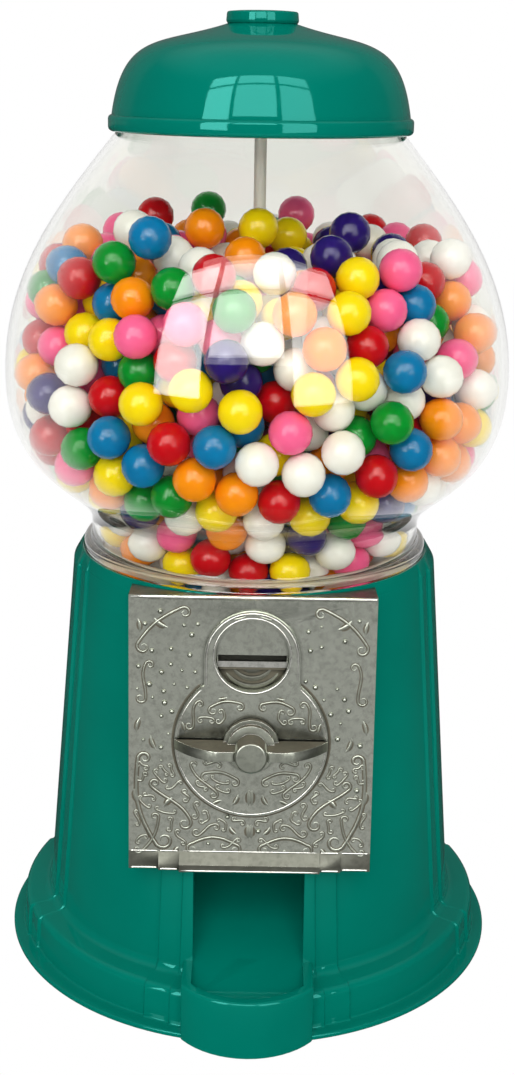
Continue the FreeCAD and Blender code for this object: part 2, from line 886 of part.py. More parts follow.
def make_plate():
    """Front casting: flat face with a raised lock-shaped boss, side returns, top flange and a stepped lip."""
    half = plate_width / 2
    low = -plate_below
    face = block(-half, half, 0, plate_thick, low, plate_above)
    returns = [block(min(side * half, side * (half - plate_return_thick)),
                     max(side * half, side * (half - plate_return_thick)),
                     0, plate_reach, low, plate_above) for side in (-1, 1)]
    flange = block(-half, half, 0, plate_reach, plate_above - plate_flange_thick, plate_above)
    posts = [rod_along(post_radius, 0, plate_reach, x, z) for x, z in plate_screw_places()]
    lips = []
    for inset, depth in zip(lip_insets, lip_depths):
        half_width = half - inset
        section = rounded_face([
            (0, low + lip_rise), (-depth, low), (-depth, low - lip_drop),
            (plate_thick, low - lip_drop), (plate_thick, low + lip_rise),
        ], in_side_view)
        lip = section.extrude(Vector(2 * half_width, 0, 0))
        lip.translate(Vector(-half_width, 0, 0))
        lips.append(lip)
    relief = relief_face().extrude(Vector(0, -relief_height, 0))
    coin_hole = rod_along(coin_hole_radius, -plate_reach, plate_thick, 0, coin_hole_height)
    bore = rod_along(shaft_radius + running_gap, -plate_reach, plate_thick)
    threads = [rod_along(screw_radius + running_gap, plate_thick, plate_reach, x, z)
               for x, z in plate_screw_places()]
    threads += [rod_along(screw_radius + running_gap, plate_thick / 2, plate_thick, x, z)
                for x, z in mech_screw_places()]
    body = body_solid(all_steps - fit_gap)
    foot = ring(0, globe_foot_radius + loose_gap, deck_floor, deck_height + plate_reach)
    sides = [mech(piece).cut([body, foot] + pilasters(fit_gap)) for piece in returns + [flange] + posts]
    front = mech(face.fuse(lips + [relief])).cut(foot)
    plate = front.fuse(sides).cut([mech(hole) for hole in [coin_hole, bore] + threads])
    return plate.removeSplitter()


def make_plate_screws():
    screws = []
    for x, z in plate_screw_places():
        shank = rod_along(screw_radius, plate_thick + loose_gap, plate_boss_end, x, z)
        head = rod_along(screw_head_radius, plate_boss_end, plate_boss_end + screw_head_height, x, z)
        screws.append(mech(shank.fuse(head).removeSplitter()))
    return Part.makeCompound(screws)


def mech_screw_places():
    x = housing_half_width - mech_screw_inset
    heights = (mech_screw_inset - housing_below, housing_above - mech_screw_inset)
    return [(side * x, height) for side in (-1, 1) for height in heights]


def make_mech_housing():
    """Casting behind the plate: round pocket for the coin carrier, coin way above, coin exit at one side."""
    half = housing_half_width
    body = block(-half, half, plate_thick, housing_rear, -housing_below, housing_above)
    pocket = rod_along(carrier_radius + pocket_gap, plate_thick, pocket_rear)
    shield_half = coin_hole_radius + loose_gap
    shield = block(-shield_half, shield_half, plate_thick, coin_wall_rear,
                   coin_hole_height - shield_half, coin_hole_height + shield_half)
    coin_half = coin_slot_width / 2
    coin_way = block(-coin_half, coin_half, coin_wall_rear, coin_wall_rear + coin_path_thick,
                     0, coin_slot_level + coin_radius / 2)
    slot = block(-coin_half, coin_half, 0, coin_wall_rear,
                 coin_slot_level - coin_slot_height / 2, coin_slot_level + coin_slot_height / 2)
    exit_way = block(0, half, carrier_front, carrier_rear, coin_exit_low, coin_exit_low + coin_exit_height)
    bore = rod_along(bush_radius + running_gap, plate_thick, housing_rear)
    pin_hole = rod_along(pin_radius + running_gap, pocket_rear, housing_rear, pawl_pivot_x, pawl_pivot_z)
    hole_radius = screw_radius + fit_gap
    holes = [rod_along(hole_radius, plate_thick, housing_rear, x, z) for x, z in mech_screw_places()]
    ledge_top = coin_slot_level - coin_slot_height / 2
    ledge = block(-coin_half, coin_half, plate_thick - coin_ledge_proud, plate_thick,
                  ledge_top - coin_ledge_height, ledge_top)
    ledge = ledge.common(rod_along(coin_hole_radius - loose_gap, 0, plate_thick, 0, coin_hole_height))
    housing = body.cut(pocket).fuse(shield).cut([coin_way, slot, exit_way, bore, pin_hole] + holes)
    return mech(housing.fuse(ledge).removeSplitter())


def make_mech_screws():
    screws = []
    for x, z in mech_screw_places():
        shank = rod_along(screw_radius, plate_thick / 2 + fit_gap, housing_rear, x, z)
        head = rod_along(screw_head_radius, housing_rear, housing_rear + screw_head_height, x, z)
        screws.append(mech(shank.fuse(head).removeSplitter()))
    return Part.makeCompound(screws)


def make_shaft():
    return mech(rod_along(shaft_radius, shaft_front, shaft_end))


def on_shaft(outer, front, rear):
    return mech(tube_along(shaft_radius, outer, front, rear))


def make_bush():
    return mech(tube_along(shaft_radius + running_gap, bush_radius, pocket_rear, housing_rear))


def make_carrier():
    disc = tube_along(shaft_radius, carrier_radius, carrier_front, carrier_rear)
    middle = (carrier_front + carrier_rear) / 2
    half_slot = coin_slot_height / 2
    inner = carrier_radius - coin_notch_depth
    half_coin = coin_slot_width / 2
    notches = []
    for low, high in ((-carrier_radius * 2, -inner), (inner, carrier_radius * 2)):
        notches.append(block(-half_coin, half_coin, middle - half_slot, middle + half_slot, low, high))
    return mech(disc.cut(notches))


def make_ratchet():
    points = []
    for index in range(ratchet_teeth):
        tip = 2 * math.pi * index / ratchet_teeth
        points.append(on_plate(ratchet_tip_radius * math.sin(tip), ratchet_tip_radius * math.cos(tip)))
        points.append(on_plate(ratchet_root_radius * math.sin(tip), ratchet_root_radius * math.cos(tip)))
    outline = Part.makePolygon(points + points[:1])
    body = Part.Face(outline).extrude(Vector(0, ratchet_thick, 0))
    body.translate(Vector(0, ratchet_front, 0))
    return mech(body.cut(rod_along(shaft_radius, ratchet_front, ratchet_rear)))


def make_pawl():
    """Lever that rides just clear of the ratchet's tips, on a pin at the mechanism's left."""
    boss = rod_along(pawl_boss_radius, ratchet_front, ratchet_rear, pawl_pivot_x, pawl_pivot_z)
    arm = rounded_face([
        (pawl_pivot_x + pawl_boss_radius / 2, pawl_pivot_z),
        (pawl_pivot_x - pawl_boss_radius / 2, pawl_pivot_z),
        (pawl_tip_x - pawl_arm, pawl_tip_z + pawl_arm / 2),
        (pawl_tip_x - pawl_arm / 2, pawl_tip_z - pawl_arm / 2),
        (pawl_tip_x, pawl_tip_z),
    ], on_plate).extrude(Vector(0, ratchet_thick, 0))
    arm.translate(Vector(0, ratchet_front, 0))
    hole = rod_along(pin_radius + running_gap, ratchet_front, ratchet_rear, pawl_pivot_x, pawl_pivot_z)
    return mech(boss.fuse(arm).cut(hole).removeSplitter())


def make_pawl_pin():
    return mech(rod_along(pin_radius, pocket_rear, pin_end, pawl_pivot_x, pawl_pivot_z))


def make_pawl_spring():
    """Closely wound torsion spring on the pin, as its outer sleeve with one straight leg."""
    front = ratchet_rear + turning_gap
    rear = pin_end - turning_gap
    coil = tube_along(spring_inner, spring_radius, front, rear, pawl_pivot_x, pawl_pivot_z)
    leg = block(pawl_pivot_x - spring_radius, pawl_pivot_x - spring_inner, rear - spring_wire, rear,
                pawl_pivot_z, pawl_pivot_z + spring_leg)
    return mech(coil.fuse(leg).removeSplitter())


def make_pinion():
    core = rod_along(pinion_root_radius, pinion_front, pinion_rear)
    tooth = rounded_face([
        (-pinion_root_half_width, pinion_root_radius - pinion_root_half_width),
        (pinion_root_half_width, pinion_root_radius - pinion_root_half_width),
        (pinion_tip_half_width, pinion_tip_radius),
        (-pinion_tip_half_width, pinion_tip_radius),
    ], on_plate).extrude(Vector(0, pinion_face, 0))
    tooth.translate(Vector(0, pinion_front, 0))
    teeth = []
    for index in range(pinion_teeth):
        copy = tooth.copy()
        copy.rotate(Vector(), inward, 360.0 * index / pinion_teeth)
        teeth.append(copy)
    bored = joined([core] + teeth).cut(rod_along(shaft_radius, pinion_front, pinion_rear))
    return mech(bored)


def make_handle():
    """Round hub on a stepped collar, with a thin wing to each side whose front edge rises and falls."""
    collar = []
    seat = -relief_height - turning_gap
    for width in collar_widths:
        collar.append(rod_along(hub_radius + width, seat - collar_thick, seat))
        seat -= collar_thick
    hub = rod_along(hub_radius, hub_front, seat)
    hub = hub.makeFillet(hub_round, [edge for edge in hub.Edges if edge.BoundBox.YMax < hub_front + fit_gap])
    wings = []
    for side in (-1, 1):
        crest = Part.BSplineCurve()
        crest.interpolate([
            Vector(side * handle_half_span, handle_back, 0),
            Vector(side * (handle_half_span + handle_crest_x) / 2, handle_shoulder, 0),
            Vector(side * handle_crest_x, handle_crest, 0),
            Vector(0, handle_waist, 0),
        ])
        back = polyline_edges([
            Vector(0, handle_waist, 0),
            Vector(0, handle_back, 0),
            Vector(side * handle_half_span, handle_back, 0),
        ])
        face = Part.Face(Part.Wire([crest.toShape()] + back))
        wing = face.extrude(Vector(0, 0, handle_thick))
        wing.translate(Vector(0, 0, -handle_thick / 2))
        wings.append(wing)
    body = joined([hub] + collar + wings)
    return mech(body.cut(rod_along(shaft_radius, shaft_front, 0)))


def bezier_points(poles, count):
    points = []
    for index in range(count + 1):
        t = index / count
        s = 1 - t
        weights = (s ** 3, 3 * s * s * t, 3 * s * t * t, t ** 3)
        point = Vector()
        for pole, weight in zip(poles, weights):
            point = point + pole * weight
        points.append(point)
    return points


class Heap:
    """Balls dropped one by one into the hopper and globe, each at the lowest place among a few tries."""

    cell = 2 * (ball_radius + ball_gap)
    level_step = 0.25
    wall_steps = 160
    lean_steps = 40

    def __init__(self):
        self.chance = random.Random(heap_seed)
        self.reach = ball_radius + ball_gap
        self.floor = guard_top + self.reach
        self.grid = {}
        self.centres = []
        self.limits = self.wall_limits()

    def wall_limits(self):
        """How far from the axis a ball's centre may be, at each level above the floor."""
        wall = []
        for poles in globe_curves(glass_wall):
            wall += [(point.x, point.z) for point in bezier_points(poles, self.wall_steps)]
        below = hopper_inside() + [in_section(neck_bore, deck_floor), in_section(neck_bore, globe_neck_top)]
        for start, end in zip(below, below[1:]):
            steps = math.ceil((end - start).Length / self.level_step)
            points = [start + (end - start) * (index / steps) for index in range(steps + 1)]
            wall += [(point.x, point.z) for point in points]
        limits = []
        height = self.floor
        while height < heap_crest + self.reach:
            near = [radius - math.sqrt(self.reach ** 2 - (level - height) ** 2)
                    for radius, level in wall if abs(level - height) < self.reach]
            limits.append(min(near))
            height += self.level_step
        return limits

    def near(self, x, y):
        column_x = math.floor(x / self.cell)
        column_y = math.floor(y / self.cell)
        for i in (column_x - 1, column_x, column_x + 1):
            for j in (column_y - 1, column_y, column_y + 1):
                yield from self.grid.get((i, j), ())

    def rest_height(self, x, y):
        """Height at which a ball lowered at x, y comes to lie, or None where it can't fit."""
        out = math.hypot(x, y)
        if out < rod_radius + nut_across_flats / 2 + self.reach:
            return None
        height = self.floor
        for bx, by, bz in self.near(x, y):
            gap = self.cell ** 2 - (x - bx) ** 2 - (y - by) ** 2
            if gap > 0:
                height = max(height, bz + math.sqrt(gap))
        level = math.ceil((height - self.floor) / self.level_step)
        while level < len(self.limits):
            if self.limits[level] >= out:
                return max(height, self.floor + level * self.level_step)
            level += 1
        return None

    def settle(self, x, y, height):
        """Roll to the lowest place nearby."""
        step = ball_radius / 2
        while step > ball_gap:
            turns = [k * math.pi / 4 for k in range(8)]
            tries = [(x + step * math.cos(turn), y + step * math.sin(turn)) for turn in turns]
            found = [(self.rest_height(a, b), a, b) for a, b in tries]
            lowest = min((entry for entry in found if entry[0] is not None), default=None)
            if lowest and lowest[0] < height - ball_gap / 10:
                height, x, y = lowest
            else:
                step /= 2
        return x, y, height

    def drop(self):
        """Let a ball down at the lowest of a few places, or None where nothing fits."""
        found = []
        for _ in range(heap_tries):
            out = globe_radius * math.sqrt(self.chance.random())
            angle = 2 * math.pi * self.chance.random()
            x = out * math.cos(angle)
            y = out * math.sin(angle)
            height = self.rest_height(x, y)
            if height is not None:
                found.append((height, x, y))
        if not found:
            return None
        height, x, y = min(found)
        return self.settle(x, y, height)

    def lean(self, x, y):
        """Move a ball up against a neighbour until it lies level with the crest, or None where it can't."""
        for bx, by, bz in self.near(x, y):
            low = 0.0
            high = 1.0
            for _ in range(self.lean_steps):
                part = (low + high) / 2
                height = self.rest_height(x + (bx - x) * part, y + (by - y) * part)
                if height is not None and height < heap_crest:
                    low = part
                else:
                    high = part
            spot = (x + (bx - x) * low, y + (by - y) * low)
            height = self.rest_height(*spot)
            if height is not None and 0 <= heap_crest - height <= self.level_step:
                return spot
        return None

    def lay(self, x, y, height):
        self.centres.append(Vector(x, y, height))
        column = (math.floor(x / self.cell), math.floor(y / self.cell))
        self.grid.setdefault(column, []).append((x, y, height))

    def fill(self):
        place = self.drop()
        while place and place[2] <= heap_top:
            self.lay(*place)
            place = self.drop()

    def crest(self, count):
        """Lay the last few balls level with each other on top of the heap."""
        for _ in range(heap_tries):
            place = self.drop()
            spot = self.lean(*place[:2]) if place else None
            if spot and count:
                self.lay(*spot, heap_crest)
                count -= 1


def make_gumballs():
    """One group of balls for each colour. Every colour has a ball at the bottom and one on the crest."""
    names = list(ball_colours)
    heap = Heap()
    heap.fill()
    heap.crest(len(names))
    chance = random.Random(heap_seed)
    between = len(heap.centres) - 2 * len(names)
    colours = names + chance.choices(names, list(ball_colours.values()), k=between) + names
    groups = {name: [] for name in names}
    for centre, colour in zip(heap.centres, colours):
        groups[colour].append(Part.makeSphere(ball_radius, centre))
    print("gumballs:", len(heap.centres), {name: len(group) for name, group in groups.items()})
    return {name: Part.makeCompound(group) for name, group in groups.items()}


os.makedirs("parts", exist_ok=True)
save("base_housing", make_base())
save("chute", make_chute())
save("bottom_cover", make_cover())
save("rubber_feet", make_feet())
save("globe", make_globe())
save("globe_gasket", make_globe_gasket())
save("lid", make_lid())
save("lid_gasket", make_lid_gasket())
save("lid_knob", make_knob())
save("centre_rod", make_rod())
save("rod_washer", make_rod_washer())
save("rod_nut", make_rod_nut())
save("hopper", make_hopper())
save("ball_guard", make_guard())
save("guard_nut", make_guard_nut())
save("ball_wheel", make_wheel())
save("wheel_rim", make_rim())
save("wheel_crown", make_crown())
save("wheel_cup", make_cup())
save("cup_screws", make_cup_screws())
save("coin_plate", make_plate())
save("plate_screws", make_plate_screws())
save("mech_housing", make_mech_housing())
save("mech_screws", make_mech_screws())
save("handle", make_handle())
save("handle_shaft", make_shaft())
save("shaft_bush", make_bush())
save("coin_carrier", make_carrier())
save("ratchet_wheel", make_ratchet())
save("ratchet_pawl", make_pawl())
save("pawl_pin", make_pawl_pin())
save("pawl_spring", make_pawl_spring())
save("shaft_spacer", on_shaft(shaft_radius + spacer_wall, ratchet_rear, pinion_front))
save("drive_pinion", make_pinion())
save("shaft_clip", on_shaft(shaft_radius + clip_width, pinion_rear, pinion_rear + clip_thick))
for colour, balls in make_gumballs().items():
    save("gumballs_" + colour, balls)
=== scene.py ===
# Gumball machine: enamelled base and lid, cast coin plate with a turn handle, glass globe and its gumballs
import json
import math
import random
import bmesh
import bpy
from mathutils import Matrix, Vector


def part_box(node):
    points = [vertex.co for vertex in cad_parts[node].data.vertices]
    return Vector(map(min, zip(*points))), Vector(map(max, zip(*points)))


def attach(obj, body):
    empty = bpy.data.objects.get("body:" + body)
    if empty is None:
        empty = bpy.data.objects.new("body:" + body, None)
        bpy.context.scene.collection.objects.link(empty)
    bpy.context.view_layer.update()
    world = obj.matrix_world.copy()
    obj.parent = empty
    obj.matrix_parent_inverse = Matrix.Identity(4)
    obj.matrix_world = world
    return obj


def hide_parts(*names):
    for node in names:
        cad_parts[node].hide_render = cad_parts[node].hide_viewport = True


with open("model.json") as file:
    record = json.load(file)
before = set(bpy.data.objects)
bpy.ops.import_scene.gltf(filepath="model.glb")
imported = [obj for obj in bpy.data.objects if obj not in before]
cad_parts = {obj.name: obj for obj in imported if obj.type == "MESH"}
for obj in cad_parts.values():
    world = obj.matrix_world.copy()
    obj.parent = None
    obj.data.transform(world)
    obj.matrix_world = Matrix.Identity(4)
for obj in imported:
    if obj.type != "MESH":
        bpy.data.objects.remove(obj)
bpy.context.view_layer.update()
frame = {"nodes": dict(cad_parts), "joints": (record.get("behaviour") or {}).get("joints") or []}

mm = 0.001
scene = bpy.context.scene
nodes = frame["nodes"]
joints = {joint["name"]: joint for joint in frame["joints"]}


# small tools

def centreOf(node):
    low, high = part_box(node)
    return (Vector(low) + Vector(high)) / 2


axisY = centreOf("globe").y        # the globe's upright axis runs at x = 0
axisAt = Vector((0, axisY, 0))


def feed(tree, node, inputs):
    # sets a node's inputs, by a link where the value is another node or one of its outputs
    for name, value in inputs.items():
        if isinstance(value, bpy.types.Node):
            value = next(socket for socket in value.outputs if socket.enabled)
        if isinstance(value, bpy.types.NodeSocket):
            tree.links.new(value, node.inputs[name])
        else:
            node.inputs[name].default_value = value


def addNode(tree, kind, inputs=None, **settings):
    node = tree.nodes.new(kind)
    for name, value in settings.items():
        setattr(node, name, value)
    feed(tree, node, inputs or {})
    return node


def dress(mesh, *materials):
    mesh.materials.clear()
    for material in materials:
        mesh.materials.append(material)


def newPiece(name, mesh, material, body, *replaced, slot=None):
    piece = bpy.data.objects.new(name, mesh)
    scene.collection.objects.link(piece)
    if material:
        dress(mesh, material)
    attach(piece, body)
    if replaced:
        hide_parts(*replaced)


def meshFrom(name, verts, faces, smoothAngle=35):
    work = bmesh.new()
    made = [work.verts.new(v) for v in verts]
    for face in faces:
        corners = list(dict.fromkeys(face))
        if len(corners) > 2:
            work.faces.new([made[i] for i in corners])
    bmesh.ops.remove_doubles(work, verts=work.verts, dist=1e-6)
    bmesh.ops.dissolve_degenerate(work, edges=work.edges, dist=1e-7)
    bmesh.ops.recalc_face_normals(work, faces=work.faces)
    mesh = bpy.data.meshes.new(name)
    work.to_mesh(mesh)
    work.free()
    smooth(mesh, smoothAngle)
    return mesh


def smooth(mesh, angle):
    mesh.shade_smooth()
    mesh.set_sharp_from_angle(angle=math.radians(angle))


def joinMeshes(name, meshes, smoothAngle=35):
    work = bmesh.new()
    for mesh in meshes:
        work.from_mesh(mesh)
    joined = bpy.data.meshes.new(name)
    work.to_mesh(joined)
    work.free()
    smooth(joined, smoothAngle)
    return joined


def evaluated(temp):
    mesh = bpy.data.meshes.new_from_object(temp.evaluated_get(bpy.context.evaluated_depsgraph_get()))
    bpy.data.objects.remove(temp)
    return mesh


def combine(mesh, other, operation):
    temp = bpy.data.objects.new("work", mesh)
    tool = bpy.data.objects.new("tool", other)
    scene.collection.objects.link(temp)
    scene.collection.objects.link(tool)
    cut = temp.modifiers.new("cut", "BOOLEAN")
    cut.operation = operation
    cut.object = tool
    cut.solver = "EXACT"
    result = evaluated(temp)
    bpy.data.objects.remove(tool)
    return result


def rounded(corners, closed=True, fine=6):
    # outline through (a, b, radius) corners, each radius as a tangent arc
    points = []
    count = len(corners)
    for i, corner in enumerate(corners):
        here = Vector(corner[:2])
        if len(corner) < 3 or (not closed and i in (0, count - 1)):
            points.append(here)
            continue
        back = (Vector(corners[i - 1][:2]) - here).normalized()
        ahead = (Vector(corners[(i + 1) % count][:2]) - here).normalized()
        half = back.angle(ahead) / 2
        middle = here + (back + ahead).normalized() * corner[2] / math.sin(half)
        start = here + back * corner[2] / math.tan(half)
        end = here + ahead * corner[2] / math.tan(half)
        sweep = (start - middle).angle_signed(end - middle)
        for k in range(fine + 1):
            points.append(middle + Matrix.Rotation(-sweep * k / fine, 2) @ (start - middle))
    return points


def bezier(p, count):
    points = []
    for k in range(count + 1):
        t = k / count
        s = 1 - t
        point = Vector(p[0]) * s**3 + Vector(p[1]) * 3 * s * s * t
        points.append(point + Vector(p[2]) * 3 * s * t * t + Vector(p[3]) * t**3)
    return points


def lathe(name, outline, segments, smoothAngle=35):
    # closed (radius, height) outline in millimetres, turned about the globe's axis
    verts = []
    faces = []
    count = len(outline)
    for k in range(segments):
        angle = 2 * math.pi * k / segments
        for r, z in outline:
            verts.append((r * mm * math.sin(angle), axisY - r * mm * math.cos(angle), z * mm))
        after = (k + 1) % segments
        for i in range(count):
            j = (i + 1) % count
            faces.append((k * count + i, after * count + i, after * count + j, k * count + j))
    return meshFrom(name, verts, faces, smoothAngle)


def prism(name, outline, low, high):
    # closed (a, b) outline in millimetres between two planes, as (a, b, low) to (a, b, high)
    count = len(outline)
    verts = [(a, b, level) for level in (low, high) for a, b in outline]
    faces = [(i, (i + 1) % count, count + (i + 1) % count, count + i) for i in range(count)]
    faces += [tuple(range(count)), tuple(range(count, 2 * count))]
    mesh = meshFrom(name, verts, faces)
    mesh.transform(Matrix.Scale(mm, 4))
    return mesh


def boxMesh(name, low, high):
    outline = [(low[0], low[1]), (high[0], low[1]), (high[0], high[1]), (low[0], high[1])]
    return prism(name, outline, low[2], high[2])


# The plate's own frame: x across, y up the plate, z straight out of it, from the middle of the handle
handleJoint = joints["handle_turn"]
plateOut = -Vector(handleJoint["axis"]).normalized()
plateUp = plateOut.cross(Vector((1, 0, 0)))
plateTurn = Matrix(((1, 0, 0), plateUp, plateOut)).transposed().to_4x4()
plateFrame = Matrix.Translation(handleJoint["pos_m"]) @ plateTurn


# materials

def linear(hexColour):
    parts = [int(hexColour[i:i + 2], 16) / 255 for i in (1, 3, 5)]
    return tuple(c / 12.92 if c <= 0.04045 else ((c + 0.055) / 1.055) ** 2.4 for c in parts) + (1,)


def perMm(size):
    # texture scale for a feature of that many millimetres
    return 1 / (size * mm)


def newMaterial(name):
    material = bpy.data.materials.new(name)
    material.use_nodes = True
    tree = material.node_tree
    shader = tree.nodes["Principled BSDF"]
    coords = addNode(tree, "ShaderNodeTexCoord").outputs["Object"]
    return material, tree, shader, coords


def patchy(tree, coords, size, low, high, detail=3, roughness=0.5, start=0.3, end=0.7):
    # cloudy patches of that many millimetres, with values from low to high
    cloud = addNode(tree, "ShaderNodeTexNoise", {
        "Vector": coords, "Scale": perMm(size), "Detail": detail, "Roughness": roughness,
    })
    return addNode(tree, "ShaderNodeMapRange", {0: cloud, 1: start, 2: end, 3: low, 4: high})


def twoTone(tree, coords, size, colour, other, detail=3, roughness=0.5):
    # two near colours in cloudy patches
    cloud = patchy(tree, coords, size, 0, 1, detail, roughness)
    return addNode(tree, "ShaderNodeMix", {0: cloud, 6: linear(colour), 7: linear(other)}, data_type="RGBA")


def uneven(tree, coords, size, detail, depth, strength):
    # a skin with humps of that many millimetres, and that deep
    humps = addNode(tree, "ShaderNodeTexNoise", {"Vector": coords, "Scale": perMm(size), "Detail": detail})
    return addNode(tree, "ShaderNodeBump", {"Height": humps, "Distance": depth * mm, "Strength": strength})


def makeEnamel(name, colour, deep):
    # sprayed and baked enamel on a casting: even colour, wet gloss, a faint orange peel
    material, tree, shader, coords = newMaterial(name)
    feed(tree, shader, {
        "Base Color": twoTone(tree, coords, 60, colour, deep),
        "Roughness": patchy(tree, coords, 9, 0.03, 0.07),
        "Normal": uneven(tree, coords, 2.2, 1, 0.01, 0.2),        # real peel is finer, drawn coarse to show
        "IOR": 1.52,
        "Specular Tint": linear("#76FFF3"),        # reflections keep a green cast
    })
    return material


zincSizes = dict(
    clouds=14, specks=2.5, hollow=2.4, grit=2.4, polish=5,
    stipple=0.8, stippleDepth=0.05, discEdge=0.6, wingShade=6, wingShadeFull=1.5, wingShadeFades=5, wingShadeEnds=13,
)


def discFinish(tree, coords, skin, normal, radius):
    # the round part of the boss is stippled.
    # The band over the wings is painted dark, as painted shade and painted dark reflection of the wings
    z = zincSizes
    back = plateFrame.inverted()
    local = addNode(tree, "ShaderNodeMapping", {
        "Vector": coords, "Location": back.translation, "Rotation": back.to_euler(),
    })
    flat = addNode(tree, "ShaderNodeVectorMath", {0: local, 1: (1, 1, 0)}, operation="MULTIPLY")
    away = addNode(tree, "ShaderNodeVectorMath", {0: flat}, operation="LENGTH")
    edge = (radius + z["discEdge"]) * mm
    inDisc = addNode(tree, "ShaderNodeMapRange", {0: away, 1: radius * mm, 2: edge, 3: 1, 4: 0})
    height = addNode(tree, "ShaderNodeSeparateXYZ", {0: local}).outputs["Y"]
    # painted shade: a patchy dark band just above the wings, fading out upwards, inside the disc only
    upper = {0: height, 1: z["wingShadeFades"] * mm, 2: z["wingShadeEnds"] * mm, 3: 0.8, 4: 0}
    lower = {0: height, 1: 0, 2: z["wingShadeFull"] * mm, 3: 0, 4: addNode(tree, "ShaderNodeMapRange", upper)}
    band = addNode(tree, "ShaderNodeMapRange", lower)
    patches = patchy(tree, coords, z["wingShade"], 0.35, 1, 5, 0.65)
    wingShade = addNode(tree, "ShaderNodeMath", {0: band, 1: inDisc}, operation="MULTIPLY")
    wingShade = addNode(tree, "ShaderNodeMath", {0: wingShade, 1: patches}, operation="MULTIPLY")
    skin = addNode(tree, "ShaderNodeMix", {0: wingShade, 6: skin, 7: linear("#2C2C26")}, data_type="RGBA")
    grit = addNode(tree, "ShaderNodeTexNoise", {"Vector": coords, "Scale": perMm(z["stipple"]), "Detail": 2})
    stipple = addNode(tree, "ShaderNodeMath", {0: grit, 1: inDisc}, operation="MULTIPLY")
    normal = addNode(tree, "ShaderNodeBump", {
        "Height": stipple, "Distance": z["stippleDepth"] * mm, "Strength": 0.5, "Normal": normal,
    })
    return skin, normal


def makeZinc(name, bright, dark, rough, disc=None, metallic=1.0, specular=0.5):
    # die-cast zinc: a dull even skin with dark specks, and the hollows darkened by ambient occlusion, painted
    # shade along with the oxide that gathers there
    z = zincSizes
    material, tree, shader, coords = newMaterial(name)
    skin = twoTone(tree, coords, z["clouds"], bright, dark, 5, 0.6)
    specks = patchy(tree, coords, z["specks"], 0, 0.3, 4, 0.65, 0.45, 0.7)
    skin = addNode(tree, "ShaderNodeMix", {0: specks, 6: skin, 7: linear("#45443B")}, data_type="RGBA")
    # painted shade: the colour darkens where ambient occlusion finds a hollow or crevice
    hollow = addNode(tree, "ShaderNodeAmbientOcclusion", {"Distance": z["hollow"] * mm}, samples=8)
    shadeAndOxideMask = addNode(tree, "ShaderNodeMapRange", {0: hollow.outputs["AO"], 1: 0.3, 2: 0.85, 3: 0.85, 4: 0})
    skin = addNode(tree, "ShaderNodeMix", {0: shadeAndOxideMask, 6: skin, 7: linear("#26251F")}, data_type="RGBA")
    normal = uneven(tree, coords, z["grit"], 3, 0.012, 0.4)
    if disc:
        skin, normal = discFinish(tree, coords, skin, normal, disc)
    feed(tree, shader, {
        "Base Color": skin,
        "Metallic": metallic,
        "Specular IOR Level": specular,
        "Roughness": patchy(tree, coords, z["polish"], rough - 0.03, rough + 0.04, 4),
        "Normal": normal,
    })
    return material


def makeGlass(name):
    # pressed soda-lime glass, clear with a trace of grey green, and lamps shine through it
    material, tree, shader, coords = newMaterial(name)
    feed(tree, shader, {
        "Base Color": linear("#F8F8F4"),
        "Transmission Weight": 1.0,
        "IOR": 1.5,
        "Roughness": 0.0,
        "Normal": uneven(tree, coords, 45, 1, 0.12, 0.3),
    })
    path = addNode(tree, "ShaderNodeLightPath").outputs
    rays = {0: path["Is Shadow Ray"], 1: path["Is Diffuse Ray"]}
    lamp = addNode(tree, "ShaderNodeMath", rays, operation="MAXIMUM")
    clear = addNode(tree, "ShaderNodeBsdfTransparent", {"Color": linear("#F8F9F6")})
    both = addNode(tree, "ShaderNodeMixShader", {0: lamp, 1: shader, 2: clear})
    feed(tree, tree.nodes["Material Output"], {"Surface": both})
    return material


def makeCandy(name, colour, shade):
    # polished sugar shell: even colour with a faint mottle, soft gloss from the wax polish
    material, tree, shader, coords = newMaterial(name)
    feed(tree, shader, {
        "Base Color": twoTone(tree, coords, 5, colour, shade, 4),
        "Roughness": patchy(tree, coords, 2.5, 0.12, 0.2),
        "Normal": uneven(tree, coords, 3, 2, 0.05, 0.3),
        "IOR": 1.45,
        "Specular IOR Level": 0.35,
    })
    return material


def makePlain(name, colour, other, size, rough, metallic=0.0):
    # hidden hardware: plated steel, turned brass, moulded acetal or rubber, with a faint grain
    material, tree, shader, coords = newMaterial(name)
    feed(tree, shader, {
        "Base Color": twoTone(tree, coords, size, colour, other, 4),
        "Roughness": patchy(tree, coords, size / 3, rough - 0.06, rough + 0.08),
        "Normal": uneven(tree, coords, size / 5, 2, 0.02, 0.5),
        "Metallic": metallic,
    })
    return material


enamel = makeEnamel("tealBakedEnamel", "#007161", "#006A5B")
plateZinc = makeZinc("castZincPlate", "#DCE0D2", "#CED2C4", 0.22, disc=27.4)
wornZincAndHighlight = makeZinc("handWornZincAndHighlight", "#F2F2EA", "#E2E2D8", 0.2)        # rubbed bright on edges and ridges, and lighter still as a painted highlight there
reliefZinc = makeZinc("castZincRelief", "#BCC0B2", "#ACB0A2", 0.34)
dullZinc = makeZinc("darkDullZinc", "#7E7F74", "#696A60", 0.42)
# a coat of oxide hides the metal and has next to no gloss; the same dark zinc is laid on as painted shade and
# painted dark reflection
oxideAndShade = makeZinc("darkZincOxideAndShade", "#625E50", "#524E42", 0.6, metallic=0.0, specular=0.1)
glass = makeGlass("pressedClearGlass")
steel = makePlain("zincPlatedSteel", "#C4C4C0", "#ABABA6", 4, 0.28, 1.0)
